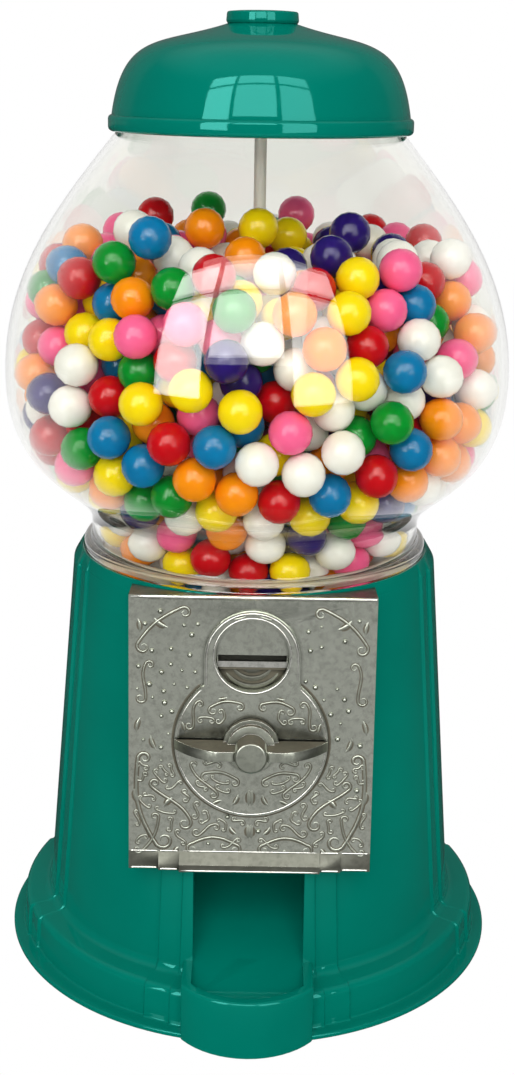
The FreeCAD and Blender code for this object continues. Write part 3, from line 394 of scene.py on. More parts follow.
# painted reflection: the zinc rod is near-white and matte, standing for the white room mirrored in its polish
rodPaintedReflection = makePlain("paleRodPaintedReflection", "#FAF8F3", "#F0EEE8", 6, 0.4)
brass = makePlain("turnedBrass", "#C8A45A", "#A98442", 3, 0.3, 1.0)
rubber = makePlain("blackRubber", "#141414", "#1E1E1D", 3, 0.72)
acetal = makePlain("mouldedAcetal", "#E4E1D8", "#D8D4C8", 8, 0.42)
sealRubber = makePlain("greyRubberSeal", "#8C877C", "#7A766C", 4, 0.6)
print("materials made")


# enamelled base casting, with rounded panel steps and the tray

baseSizes = dict(
    flange=103.7, flangeTop=3.0, standsProud=0.8, plinthFoot=99.0, plinth=98.0, plinthTop=17.5, ledge=18.5,
    bodyFoot=87.15, bodyTop=74.6, shoulder=167.0, deck=71.5, deckTop=172.3, deckFloor=169.5, recess=70.6,
    seat=66.3, seatFloor=168.0, bore=62.3, under=163.5, wall=3.0, step=1.0, stepAngles=(18.0, 24.6),
    stepBlend=0.65, coverEdge=95.0, coverTop=8.0, row=8.0,
)
traySizes = dict(
    half=25.5, reach=112.8, rear=-78.0, rim=24.5, rows=(8.0, 16.0), bow=32.6, wall=3.6, corner=3.0,
    sharpest=0.6, round=1.3, insideRear=-10.0, arc=6, frontArc=16,
)
chuteSizes = dict(
    half=21.6, back=-17.5, front=-35.5, top=119.0, corner=50.0, bend=60.0, floorEnd=10.5, mouthTop=63.0,
    roofBack=86.0,
)


def stepBack(degrees):
    # how many panel steps the wall lies back, smoothly rounded at each step's edge
    away = abs((degrees + 45) % 90 - 45)
    total = 0
    for edge in baseSizes["stepAngles"]:
        t = min(1, max(0, (away - edge) / baseSizes["stepBlend"] + 0.5))
        total += t * t * (3 - 2 * t)
    return total


def baseAngles():
    angles = {float(a) for a in range(0, 360, 2)}
    for quarter in range(0, 360, 90):
        for edge in baseSizes["stepAngles"]:
            for side in (-1, 1):
                for k in range(-5, 6):
                    angles.add((quarter + side * (edge + k * baseSizes["stepBlend"] / 10)) % 360)
    return sorted(angles)


def makeBaseShell():
    b = baseSizes
    inset = 2 * b["step"] + b["wall"]
    taper = (b["bodyFoot"] - b["bodyTop"]) / (b["shoulder"] - b["ledge"])
    outside = rounded([
        (b["coverEdge"], b["standsProud"]),
        (b["flange"], b["standsProud"], 0.8),
        (b["flange"], b["flangeTop"], 0.8),
        (b["plinthFoot"], b["flangeTop"], 0.8),
        (b["plinth"], b["plinthTop"], 3.0),
        (b["bodyFoot"], b["ledge"], 4.0),
        (b["bodyTop"], b["shoulder"], 3.0),
        (b["deck"], b["deckTop"], 0.6),
        (b["recess"], b["deckTop"] - 0.2),
    ], closed=False, fine=8)
    rows = []
    for r, z in outside:
        fade = min(1, max(0, (b["deckTop"] - z) / (b["deckTop"] - b["shoulder"])))
        rows.append((r, z, fade if z > b["flangeTop"] else 0))
    # long plain stretches get more rows, so that cuts stay local
    full = []
    for first, second in zip(rows, rows[1:]):
        parts = max(1, round(math.hypot(second[0] - first[0], second[1] - first[1]) / b["row"]))
        for k in range(parts):
            full.append(tuple(p + (q - p) * k / parts for p, q in zip(first, second)))
    full.append(rows[-1])
    inside = [
        (b["recess"], b["deckFloor"]), (b["seat"], b["deckFloor"]), (b["seat"], b["seatFloor"]),
        (b["bore"], b["seatFloor"]), (b["bore"], b["under"]),
        (b["bodyTop"] - inset + taper * (b["shoulder"] - b["under"]), b["under"]),
        (b["bodyFoot"] - inset, b["ledge"] - b["wall"]), (b["plinth"] - inset, b["plinthTop"] - b["wall"]),
        (b["plinth"] - inset, b["coverTop"]), (b["coverEdge"], b["coverTop"]),
    ]
    full += [(r, z, 0) for r, z in inside]
    verts = []
    faces = []
    angles = baseAngles()
    count = len(full)
    for k, degrees in enumerate(angles):
        angle = math.radians(degrees)
        back = stepBack(degrees) * b["step"]
        for r, z, fade in full:
            out = (r - back * fade) * mm
            verts.append((out * math.sin(angle), axisY - out * math.cos(angle), z * mm))
        after = (k + 1) % len(angles)
        for i in range(count):
            j = (i + 1) % count
            faces.append((k * count + i, after * count + i, after * count + j, k * count + j))
    return meshFrom("baseShell", verts, faces)


def trayPlan(inset, rear):
    # the tray seen from above, drawn in by an inset: straight sides, rounded corners and a bowed front
    t = traySizes
    half = t["half"] - inset
    bow = t["bow"] - inset
    corner = max(t["corner"] - inset, t["sharpest"])
    middle = -t["reach"] + t["bow"]
    cornerY = middle - math.sqrt((bow - corner) ** 2 - (half - corner) ** 2)
    lean = math.atan2(half - corner, middle - cornerY)
    right = []
    for k in range(t["arc"] + 1):
        angle = math.pi / 2 + (lean - math.pi / 2) * k / t["arc"]
        right.append((half - corner + corner * math.sin(angle), cornerY - corner * math.cos(angle)))
    front = []
    for k in range(1, t["frontArc"]):
        angle = lean - 2 * lean * k / t["frontArc"]
        front.append((bow * math.sin(angle), middle - bow * math.cos(angle)))
    left = [(-x, y) for x, y in reversed(right)]
    return [(half, rear)] + right + front + left + [(-half, rear)]


def makeTray():
    t = traySizes
    rings = [(0, z) for z in (baseSizes["standsProud"], *t["rows"])]
    for k in range(t["arc"] + 1):
        angle = math.pi / 2 * k / t["arc"]
        rings.append((t["round"] * (1 - math.cos(angle)), t["rim"] - t["round"] * (1 - math.sin(angle))))
    verts = []
    faces = []
    for inset, z in rings:
        plan = trayPlan(inset, t["rear"])
        verts += [(x * mm, axisY + y * mm, z * mm) for x, y in plan]
    count = len(plan)
    for level in range(len(rings) - 1):
        low = level * count
        high = low + count
        for i in range(count):
            j = (i + 1) % count
            faces.append((low + i, low + j, high + j, high + i))
    faces.append(tuple(range(count)))
    faces.append(tuple(range((len(rings) - 1) * count, len(rings) * count)))
    return meshFrom("tray", verts, faces)


def makeBallWay():
    # the way down for the balls: back, sloping floor and roof in side view, as wide as the chute
    c = chuteSizes
    front = -traySizes["reach"] - traySizes["wall"]
    side = rounded([
        (c["back"], c["top"]),
        (c["back"], c["corner"], c["bend"]),
        (front, c["floorEnd"]),
        (front, c["mouthTop"]),
        (-baseSizes["bodyFoot"], c["mouthTop"]),
        (c["front"], c["roofBack"]),
        (c["front"], c["top"]),
    ], fine=14)
    way = prism("ballWay", side, -c["half"], c["half"])
    sideOn = Matrix(((0, 0, 1, 0), (1, 0, 0, 0), (0, 1, 0, 0), (0, 0, 0, 1)))        # (y, z, x) to (x, y, z)
    way.transform(Matrix.Translation(axisAt) @ sideOn)
    plan = prism("trayInside", trayPlan(traySizes["wall"], traySizes["insideRear"]), 0, c["top"] + 1)
    plan.transform(Matrix.Translation(axisAt))
    return combine(way, plan, "INTERSECT")


plateSizes = dict(
    half=46.5, above=57.2, below=48.7, thick=2.6, lipDrop=2.8, boss=29.0, bossHeight=2.0, neckHalf=18.0,
    neckCentre=33.7, hole=13.85, holeHeight=34.5, lipTop=4.3, slotFoot=31.3, recess=2.6,
    landGap=0.3, landTop=82.0, cut=24.0, windowHalf=35.0, windowFoot=-43.0, windowTop=49.5,
    lips=((-46, -35.3, 0.5), (-34.7, -27.3, 1.9), (-26.7, 26.7, 3.5), (27.3, 34.7, 1.9), (35.3, 46, 0.5)),
)


def makeBase():
    p = plateSizes
    base = combine(makeBaseShell(), makeTray(), "UNION")
    half = p["half"] + p["landGap"]
    low = (-half, -p["below"] - p["lipDrop"], -p["thick"] - p["landGap"])
    land = boxMesh("land", low, (half, p["landTop"], p["cut"]))
    half = p["windowHalf"]
    window = boxMesh("window", (-half, p["windowFoot"], -p["cut"]), (half, p["windowTop"], p["cut"]))
    for behindPlate in (land, window):
        behindPlate.transform(plateFrame)
        base = combine(base, behindPlate, "DIFFERENCE")
    base = combine(base, makeBallWay(), "DIFFERENCE")
    work = bmesh.new()
    work.from_mesh(base)
    bmesh.ops.remove_doubles(work, verts=work.verts, dist=2e-6)
    bmesh.ops.dissolve_degenerate(work, edges=work.edges, dist=1e-6)
    work.to_mesh(base)
    work.free()
    smooth(base, 32)
    newPiece("enamelBase", base, enamel, "base", "base_housing", slot="teal_enamel")


makeBase()
print("base made")


# lid and knob

lidSizes = dict(
    bottom=336.5, bead=58.8, beadHeight=6.5, skirt=57.4, lean=4.7, pull=30.4, crownPull=25.65, crownDrop=8.3,
    wall=2.4, inside=55.8, seat=342.0, bore=6.3,
)
knobSizes = dict(
    seatRadius=13.2, radius=13.8, seat=376.4, top=381.0, stem=6.0, stemEnd=369.0, bore=2.45, boreTop=379.2,
)


def makeLid():
    s = lidSizes
    k = knobSizes
    foot = s["bottom"] + s["beadHeight"]
    wall = s["wall"]
    dome = bezier([
        (s["skirt"], foot), (s["skirt"] - s["lean"], foot + s["pull"]),
        (k["seatRadius"] + s["crownPull"], k["seat"] - s["crownDrop"]), (k["seatRadius"], k["seat"]),
    ], 40)
    inner = [Vector((r - wall, z - wall)) for r, z in reversed(dome) if r - wall > k["seatRadius"]]
    bead = rounded([
        (s["inside"], s["seat"]), (s["inside"], s["bottom"], 0.3), (s["bead"], s["bottom"], 1.7),
        (s["bead"], foot - 0.9, 1.5), (s["skirt"], foot - 0.3),
    ], closed=False)
    top = [Vector((s["bore"], k["seat"])), Vector((s["bore"], k["seat"] - wall))]
    outline = bead + dome + top + inner + [Vector((s["skirt"] - wall, s["seat"]))]
    mesh = lathe("enamelLid", outline, 144, 40)
    newPiece("enamelLid", mesh, enamel, "lid", "lid", slot="teal_enamel")


def makeKnob():
    k = knobSizes
    outline = rounded([
        (k["bore"], k["stemEnd"]), (k["stem"], k["stemEnd"]), (k["stem"], k["seat"]),
        (k["radius"] - 0.5, k["seat"] + 0.02, 0.4), (k["radius"], k["seat"] + 1.0, 0.8),
        (k["radius"] - 0.3, k["top"] - 0.25, 0.9), (k["radius"] - 3.4, k["top"], 3.0), (0, k["top"]),
        (0, k["boreTop"]), (k["bore"], k["boreTop"]),
    ])
    mesh = lathe("enamelKnob", outline, 96, 40)
    newPiece("enamelKnob", mesh, enamel, "knob", "lid_knob", slot="teal_enamel")


makeLid()
makeKnob()
print("lid and knob made")


# glass globe

globeSizes = dict(
    foot=170.5, footRadius=70.3, footThick=5.2, neck=67.0, neckTop=182.9, neckPull=16.7, radius=100.4,
    equator=242.7, lowerPull=43.8, upperPull=41.8, mouth=337.7, mouthRadius=54.9, mouthPull=26.4,
    mouthSlope=0.8, rim=341.0, rimRadius=54.8, wall=3.0,
)


def globeCurve(thin):
    g = globeSizes
    r = g["radius"] - thin
    neck = g["neck"] - thin
    mouth = g["mouthRadius"] - thin
    lower = bezier([
        (neck, g["neckTop"]), (neck, g["neckTop"] + g["neckPull"]),
        (r, g["equator"] - g["lowerPull"]), (r, g["equator"]),
    ], 30)
    upper = bezier([
        (r, g["equator"]), (r, g["equator"] + g["upperPull"]),
        (mouth + g["mouthPull"] * g["mouthSlope"], g["mouth"] - g["mouthPull"]), (mouth, g["mouth"]),
    ], 34)
    return lower + upper[1:]


def makeGlobe():
    g = globeSizes
    bore = g["neck"] - g["wall"]
    footTop = g["foot"] + g["footThick"]
    foot = rounded([
        (bore, g["neckTop"]), (bore, g["foot"], 1.0), (g["footRadius"], g["foot"], 1.2),
        (g["footRadius"], footTop, 1.8), (g["neck"], footTop + 0.4, 1.6), (g["neck"], g["neckTop"]),
    ], closed=False)
    rim = rounded([
        (g["mouthRadius"], g["mouth"]), (g["rimRadius"], g["mouth"] + 0.1), (g["rimRadius"], g["rim"], 1.0),
        (g["mouthRadius"] - g["wall"], g["rim"], 1.0), (g["mouthRadius"] - g["wall"], g["mouth"]),
    ], closed=False)
    outline = foot + globeCurve(0)[1:] + rim[1:] + list(reversed(globeCurve(g["wall"])))[1:-1]
    mesh = lathe("glassGlobe", outline, 160, 60)
    newPiece("glassGlobe", mesh, glass, "base", "globe", slot="clear_glass")


makeGlobe()
print("globe made")


# gumballs and beads: one node tree puts a round ball on every point

def makeBallTree():
    tree = bpy.data.node_groups.new("ballsOnPoints", "GeometryNodeTree")
    for name, way, kind in (
        ("Points", "INPUT", "Geometry"), ("Radius", "INPUT", "Float"), ("Corners", "INPUT", "Int"),
        ("Seed", "INPUT", "Int"), ("Finish", "INPUT", "Material"), ("Balls", "OUTPUT", "Geometry"),
    ):
        tree.interface.new_socket(name, in_out=way, socket_type="NodeSocket" + kind)
    given = addNode(tree, "NodeGroupInput").outputs
    cube = addNode(tree, "GeometryNodeMeshCube", {"Vertices " + axis: given["Corners"] for axis in "XYZ"})
    place = addNode(tree, "GeometryNodeInputPosition")
    # even out the cube's grid before it is blown up to a ball
    bend = addNode(tree, "ShaderNodeVectorMath", {0: place, 1: (math.pi / 2,) * 3}, operation="MULTIPLY")
    tangent = addNode(tree, "ShaderNodeVectorMath", {0: bend}, operation="TANGENT")
    unit = addNode(tree, "ShaderNodeVectorMath", {0: tangent}, operation="NORMALIZE")
    sized = addNode(tree, "ShaderNodeVectorMath", {0: unit, "Scale": given["Radius"]}, operation="SCALE")
    ball = addNode(tree, "GeometryNodeSetPosition", {"Geometry": cube.outputs["Mesh"], "Position": sized})
    soft = addNode(tree, "GeometryNodeSetShadeSmooth", {"Geometry": ball, "Shade Smooth": True})
    turn = addNode(tree, "FunctionNodeRandomValue", {
        "Min": (0, 0, 0), "Max": (6.28,) * 3, "Seed": given["Seed"],
    }, data_type="FLOAT_VECTOR")
    size = addNode(tree, "GeometryNodeInputNamedAttribute", {"Name": "ballSize"}, data_type="FLOAT")
    dots = addNode(tree, "GeometryNodeMeshToPoints", {"Mesh": given["Points"]})
    laid = addNode(tree, "GeometryNodeInstanceOnPoints", {
        "Points": dots, "Instance": soft,
        "Rotation": turn.outputs["Value"], "Scale": size.outputs["Attribute"],
    })
    real = addNode(tree, "GeometryNodeRealizeInstances", {"Geometry": laid})
    dressed = addNode(tree, "GeometryNodeSetMaterial", {"Geometry": real, "Material": given["Finish"]})
    addNode(tree, "NodeGroupOutput", {"Balls": dressed})
    return tree


ballTree = makeBallTree()


def ballsAt(name, places, sizes, radius, corners, seed, material):
    points = bpy.data.meshes.new(name)
    points.from_pydata(places, [], [])
    points.attributes.new("ballSize", "FLOAT", "POINT").data.foreach_set("value", sizes)
    temp = bpy.data.objects.new(name, points)
    scene.collection.objects.link(temp)
    balls = temp.modifiers.new("balls", "NODES")
    balls.node_group = ballTree
    values = {"Radius": radius, "Corners": corners, "Seed": seed, "Finish": material}
    for item in ballTree.interface.items_tree:
        if item.name in values:
            balls[item.identifier] = values[item.name]
    return evaluated(temp)


candySizes = dict(radius=7.85, corners=5, cell=4.0, seed=7)
candyColours = dict(
    white=("#FBF9F5", "#F5F1EA"), pink=("#FF6A9E", "#FB5F95"), red=("#CC0414", "#BE0210"),
    orange=("#FF9600", "#FA8C00"), yellow=("#FFE200", "#FAD800"), green=("#00942E", "#008828"),
    blue=("#007AB4", "#006EA6"), purple=("#2A1672", "#221060"),
)


def ballCentres(node):
    # each triangle points at the middle of its ball, so the middles gather in small cells
    radius = candySizes["radius"] * mm
    cells = {}
    mesh = nodes[node].data
    for face in mesh.polygons:
        middle = face.center - face.normal * radius
        key = tuple(round(c / (candySizes["cell"] * mm)) for c in middle)
        total = cells.setdefault(key, [Vector(), 0])
        total[0] += middle
        total[1] += 1
    found = []
    for total, count in sorted(cells.values(), key=lambda entry: -entry[1]):
        middle = total / count
        for other in found:
            if (other[0] / other[1] - middle).length < radius:
                other[0] += total
                other[1] += count
                break
        else:
            found.append([total.copy(), count])
    # slivers without a true normal gather nowhere, and are left out
    return [total / count for total, count in found if count > found[0][1] / 4]


def makeGumballs():
    c = candySizes
    heap = 0
    for colour, (light, shade) in candyColours.items():
        node = "gumballs_" + colour
        places = ballCentres(node)
        heap += len(places)
        material = makeCandy("sugarShell" + colour.capitalize(), light, shade)
        sizes = [1.0] * len(places)
        mesh = ballsAt(node, places, sizes, c["radius"] * mm, c["corners"], c["seed"], material)
        newPiece("candy" + colour.capitalize(), mesh, None, "base", node, slot="candy_" + colour)
    print("gumballs made:", heap)


makeGumballs()


# cast coin plate and handle: the CAD forms with softened edges, then the ornament that is cast on them

edgeSizes = dict(plate=0.3, plateSmooth=30, handle=1.1, handleSmooth=50, sharp=38, segments=3)


def softened(node, width, smoothAngle, *materials):
    # a copy of the CAD form with a narrow rounded edge all over, where the second finish shows
    work = bmesh.new()
    work.from_mesh(nodes[node].data)
    bmesh.ops.remove_doubles(work, verts=work.verts, dist=5e-6)
    bmesh.ops.dissolve_limit(work, angle_limit=math.radians(1), verts=work.verts, edges=work.edges)
    for face in work.faces:
        face.material_index = 0
    mesh = bpy.data.meshes.new(node)
    work.to_mesh(mesh)
    work.free()
    dress(mesh, *materials)
    smooth(mesh, smoothAngle)
    temp = bpy.data.objects.new(node, mesh)
    scene.collection.objects.link(temp)
    edge = temp.modifiers.new("edge", "BEVEL")
    edge.width = width * mm
    edge.segments = edgeSizes["segments"]
    edge.limit_method = "ANGLE"
    edge.angle_limit = math.radians(edgeSizes["sharp"])
    edge.harden_normals = True
    edge.material = 1
    return evaluated(temp)


def makePlate():
    # the top flange and the lip get the darker, duller zinc
    p = plateSizes
    e = edgeSizes
    mesh = softened("coin_plate", e["plate"], e["plateSmooth"], plateZinc, wornZincAndHighlight, dullZinc)
    back = plateFrame.inverted()
    for face in mesh.polygons:
        place = back @ face.center / mm
        onLip = place.y < p["lipTop"] - p["below"] and place.z > 0.1
        if face.material_index == 0 and (onLip or place.y > p["above"] - 0.1):
            face.material_index = 2
    newPiece("castCoinPlate", mesh, None, "base", "coin_plate", slot="cast_zinc")


def makeHandle():
    # the upper faces of the wings get the dark zinc, a painted dark reflection of the shaded boss above them
    e = edgeSizes
    mesh = softened("handle", e["handle"], e["handleSmooth"], reliefZinc, wornZincAndHighlight, oxideAndShade)
    for face in mesh.polygons:
        if face.material_index == 0 and face.normal.z > 0.5:
            face.material_index = 2
    newPiece("castHandle", mesh, None, "crank", "handle", slot="cast_zinc")


# The line share and the film share are shares of a form's width: the raised line, and the dark film that it
# lies in, oxide with painted shade beside the line.
# The others are heights, how full a stroke stays towards its ends, and the form of the scrolls
reliefSizes = dict(
    line=0.62, high=0.3, oxideAndShade=1.4, oxideAndShadeHigh=0.17, scrollFull=0.35, leafFull=0.8, even=0.01, lipFull=0.05,
    discShade=(1.3, 0.2), discGap=0.8, smoothAngle=60, ribs=5, sunk=0.1, thinnest=0.12,
    eye=0.22, turns=1.15, pull=0.4,
)


def curl(x, y, radius, start, sweep, steps):
    # a spiral that opens from its eye to the full radius
    eye = reliefSizes["eye"]
    path = []
    for k in range(steps):
        t = k / steps
        angle = start + sweep * (1 - t)
        r = radius * (eye + (1 - eye) * t)
        path.append((x + r * math.cos(angle), y + r * math.sin(angle)))
    return path


def scroll(ax, ay, bx, by, radiusA, radiusB, bow, same, steps=16):
    # a stem between two curls, which lie on the same side of it or on opposite sides
    along = Vector((bx - ax, by - ay))
    across = Vector((-along.y, along.x)).normalized()
    up = math.atan2(across.y, across.x)
    turn = 2 * reliefSizes["turns"] * math.pi
    pull = reliefSizes["pull"]
    start = Vector((ax, ay)) + across * radiusA
    end = Vector((bx, by)) + across * (radiusB if same else -radiusB)
    lift = along * pull + across * bow
    drop = along * pull - across * bow
    stem = bezier([start, start + lift, end - drop, end], steps)
    first = curl(ax, ay, radiusA, up, turn, steps)
    last = curl(bx, by, radiusB, up if same else up - math.pi, -turn if same else turn, steps)
    return first + [tuple(point) for point in stem] + last[::-1]


def leaf(ax, ay, bx, by, bow, steps=12):
    middle = (Vector((ax, ay)) + Vector((bx, by))) / 2 + Vector((ay - by, bx - ax)) * bow
    path = []
    for k in range(steps + 1):
        t = k / steps
        point = Vector((ax, ay)) * (1 - t) ** 2 + middle * 2 * t * (1 - t) + Vector((bx, by)) * t * t
        path.append(tuple(point))
    return path


def stroke(path, width, height, level, fullness):
    # a raised half-round along a path, narrowing to both ends
    s = reliefSizes
    ribs = s["ribs"]
    verts = []
    faces = []
    last = len(path) - 1
    for k, (x, y) in enumerate(path):
        ahead = Vector(path[min(k + 1, last)]) - Vector(path[max(k - 1, 0)])
        side = Vector((-ahead.y, ahead.x)).normalized()
        swell = max(s["thinnest"], math.sin(math.pi * k / last) ** fullness)
        for i in range(ribs):
            angle = math.pi * i / (ribs - 1)
            out = -math.cos(angle) * width / 2 * swell
            rise = level - s["sunk"] + math.sin(angle) * height * swell
            verts.append(((x + side.x * out) * mm, (y + side.y * out) * mm, rise * mm))
        if k:
            here = k * ribs
            before = here - ribs
            faces += [(before + i, here + i, here + i + 1, before + i + 1) for i in range(ribs - 1)]
    return meshFrom("stroke", verts, faces, s["smoothAngle"])


def ring(x, y, radius, start=0, sweep=360, steps=72):
    angles = [math.radians(start + sweep * k / steps) for k in range(steps + 1)]
    return [(x + radius * math.cos(a), y + radius * math.sin(a)) for a in angles]


def straight(left, right, height, steps=12):
    return [(left + (right - left) * k / steps, height) for k in range(steps + 1)]


# scrolls as two curl middles, their radii, the stem's bow, whether both curl to one side, and the width.
# leaves as two ends, the bow and the width. Each has a mirror image.
plateScrolls = (
    (25.5, 50.5, 41, 37, 2.3, 2.6, 2.2, True, 1.5), (38.5, 30, 42, 17, 1.7, 2.0, 1.0, False, 1.3),
    (40.5, -7, 33, -40, 2.6, 3.6, 4.5, True, 1.9), (36.5, -17, 25, -33, 1.9, 2.6, -1.5, False, 1.5),
    (5.5, -43.5, 22, -43.5, 2.2, 2.4, 3.5, True, 1.5), (13, -34.5, 20.5, -36.5, 1.4, 1.6, 0.6, False, 1.2),
    (43, -44, 36.5, -30.5, 1.6, 1.6, 2.0, True, 1.3),
)
plateLeaves = (
    (37.5, 49, 31, 44.5, 0.25, 2.6), (43.5, 48.5, 42.5, 42, -0.2, 2.2), (41.5, 10, 43.5, 2.5, 0.2, 2.2),
    (35.5, -4, 38, 3, -0.25, 2.2), (29, -22.5, 33, -27, 0.25, 2.6), (44, -18, 42, -26, 0.25, 2.6),
    (27, -42.5, 29, -46, 0.2, 2.2), (13.5, -43, 13.5, -47, 0.0, 2.6), (0.6, -32.5, 0.6, -39.5, 0.0, 3.0),
    (8, -33.5, 4.5, -37.5, 0.25, 2.0),
)
bossScrolls = (
    (4.5, 14.5, 14.5, 13, 1.7, 1.9, 1.6, True, 1.3), (19.5, 15.5, 23.5, 7, 1.5, 1.6, 0.8, False, 1.2),
    (6, -15.5, 17, -13.5, 1.7, 1.9, 1.6, True, 1.3), (21.5, -8.5, 14, -20.5, 1.4, 1.6, 1.2, False, 1.2),
)
bossLeaves = (
    (2.2, 50.2, 7.6, 48.6, -0.12, 1.7), (0.6, -17.5, 0.6, -25.5, 0.0, 2.6),
    (4.5, -19.5, 7.5, -25, -0.25, 2.0), (9, 18.5, 13, 17.8, -0.2, 1.6),
    (25, 3.8, 26.5, 9, 0.1, 1.6), (10.5, -22.5, 15, -24.5, 0.1, 1.6),
)
filigreeSizes = dict(
    seed=12, tries=4200, width=0.75, high=0.28, apart=1.05, length=(3.0, 7.0), radius=(0.8, 1.3),
    bow=(-0.8, 1.5), steps=9, startX=1.5, sideGap=2, footGap=6, startTop=18, discGap=2, hubGap=14,
    wingGap=6, aroundGap=1.2, flatTop=-8, middleGap=0.8, edgeGap=1.5, lipGap=5.5, top=19,
)


def makeFiligree(taken, shades):
    # small scrolls strewn over the lower third and the round boss, wherever they find room
    f = filigreeSizes
    p = plateSizes
    r = reliefSizes
    chance = random.Random(f["seed"])
    filled = [point for point in taken[::2] if point[0] > -2]
    meshes = []
    for _ in range(f["tries"]):
        ax = chance.uniform(f["startX"], p["half"] - f["sideGap"])
        ay = chance.uniform(-p["below"] + f["footGap"], f["startTop"])
        angle = chance.uniform(0, 2 * math.pi)
        far = chance.uniform(*f["length"])
        radius = chance.uniform(*f["radius"])
        bx = ax + far * math.cos(angle)
        by = ay + far * math.sin(angle)
        bow = chance.uniform(*f["bow"])
        path = scroll(ax, ay, bx, by, radius, radius, bow, chance.random() < 0.5, f["steps"])
        reach = [math.hypot(x, y) for x, y in path]
        offWings = min(abs(y) for x, y in path) > f["wingGap"]
        onBoss = max(reach) < p["boss"] - f["discGap"] and min(reach) > f["hubGap"] and offWings
        onFlat = min(reach) > p["boss"] + f["aroundGap"] and max(y for x, y in path) < f["flatTop"]
        right = p["half"] - f["edgeGap"]
        foot = -p["below"] + f["lipGap"]
        inside = all(f["middleGap"] < x < right and foot < y < f["top"] for x, y in path)
        if not inside or not (onBoss or onFlat):
            continue
        if any(math.hypot(x - a, y - b) < f["apart"] for x, y in path[::2] for a, b in filled):
            continue
        level = p["bossHeight"] if onBoss else 0
        for side in (1, -1):
            placed = [(side * x, y) for x, y in path]
            meshes.append(stroke(placed, f["width"], f["high"], level, r["scrollFull"]))
            shades.append(stroke(placed, f["width"] * 2, r["oxideAndShadeHigh"], level, r["scrollFull"]))
            taken += placed
        filled += path[::2]
    print("filigree made:", len(meshes))
    return meshes


recessSizes = dict(
    ledgeHalf=13.3, ledgeDown=1.7, ledgeUp=0.6, ledgeFront=-0.3, down=1.5, start=212, sweep=116, steps=36,
    ribHigh=0.7, ribFull=0.4, ribs=((11.6, 2.4), (8.4, 2.2), (5.4, 2.0)),        # radius and width
)


def makeCoinRecess():
    # bright ledge under the coin slot, and the ribbed scoop below it
    p = plateSizes
    r = recessSizes
    half = r["ledgeHalf"]
    low = (-half, p["slotFoot"] - r["ledgeDown"], -p["recess"])
    ledge = boxMesh("ledge", low, (half, p["slotFoot"] + r["ledgeUp"], r["ledgeFront"]))
    ledge.transform(plateFrame)
    newPiece("coinLedge", ledge, wornZincAndHighlight, "base", slot="cast_zinc")
    ribs = []
    for radius, width in r["ribs"]:
        path = ring(0, p["holeHeight"] - r["down"], radius, r["start"], r["sweep"], r["steps"])
        ribs.append(stroke(path, width, r["ribHigh"], -p["recess"], r["ribFull"]))
    scoop = joinMeshes("coinScoop", ribs)
    scoop.transform(plateFrame)
    newPiece("coinScoop", scoop, dullZinc, "base", slot="cast_zinc")


def makePlateOrnament():
    # each raised stroke lies in a wider and lower dark film, oxide in the hollow with painted shade beside
    # the stroke
    p = plateSizes
    r = reliefSizes
    meshes = []
    shades = []
    taken = []
    for draw, fullness, level, forms in (
        (scroll, r["scrollFull"], 0, plateScrolls),
        (leaf, r["leafFull"], 0, plateLeaves),
        (scroll, r["scrollFull"], p["bossHeight"], bossScrolls),
        (leaf, r["leafFull"], p["bossHeight"], bossLeaves),
    ):
        for form in forms:
            path = draw(*form[:-1])
            for side in (1, -1):
                placed = [(side * a, b) for a, b in path]
                meshes.append(stroke(placed, form[-1] * r["line"], r["high"], level, fullness))
                shades.append(stroke(placed, form[-1] * r["oxideAndShade"], r["oxideAndShadeHigh"], level, fullness))
                taken += placed
    meshes += makeFiligree(taken, shades)
    turn = math.degrees(math.acos(p["neckHalf"] / p["boss"]))
    around = ring(0, 0, p["boss"] + r["discGap"], 180 - turn, 180 + 2 * turn)
    # painted shade: a dark film just outside the disc's edge
    shades.append(stroke(around, *r["discShade"], 0, r["even"]))
    film = joinMeshes("plateOxideAndShade", shades, r["smoothAngle"])
    film.transform(plateFrame)
    newPiece("plateOxideAndShade", film, oxideAndShade, "base", slot="cast_zinc")
    ornament = joinMeshes("plateOrnament", meshes, r["smoothAngle"])
    ornament.transform(plateFrame)
    newPiece("plateOrnament", ornament, reliefZinc, "base", slot="cast_zinc")
    return taken


# width and height of each ridge, and how far it lies from its edge
borderSizes = dict(
    neck=(0.9, 0.5), neckIn=0.8, neckFoot=0.5, hole=(0.8, 0.32), holeOut=0.7, disc=(0.6, 0.2), discIn=0.7,
    discEnds=2, top=(1.7, 0.7), topIn=0.8, sideIn=0.4, lipFoot=(1.1, 0.6), lipFootIn=0.5, lipTop=(0.8, 0.4),
)


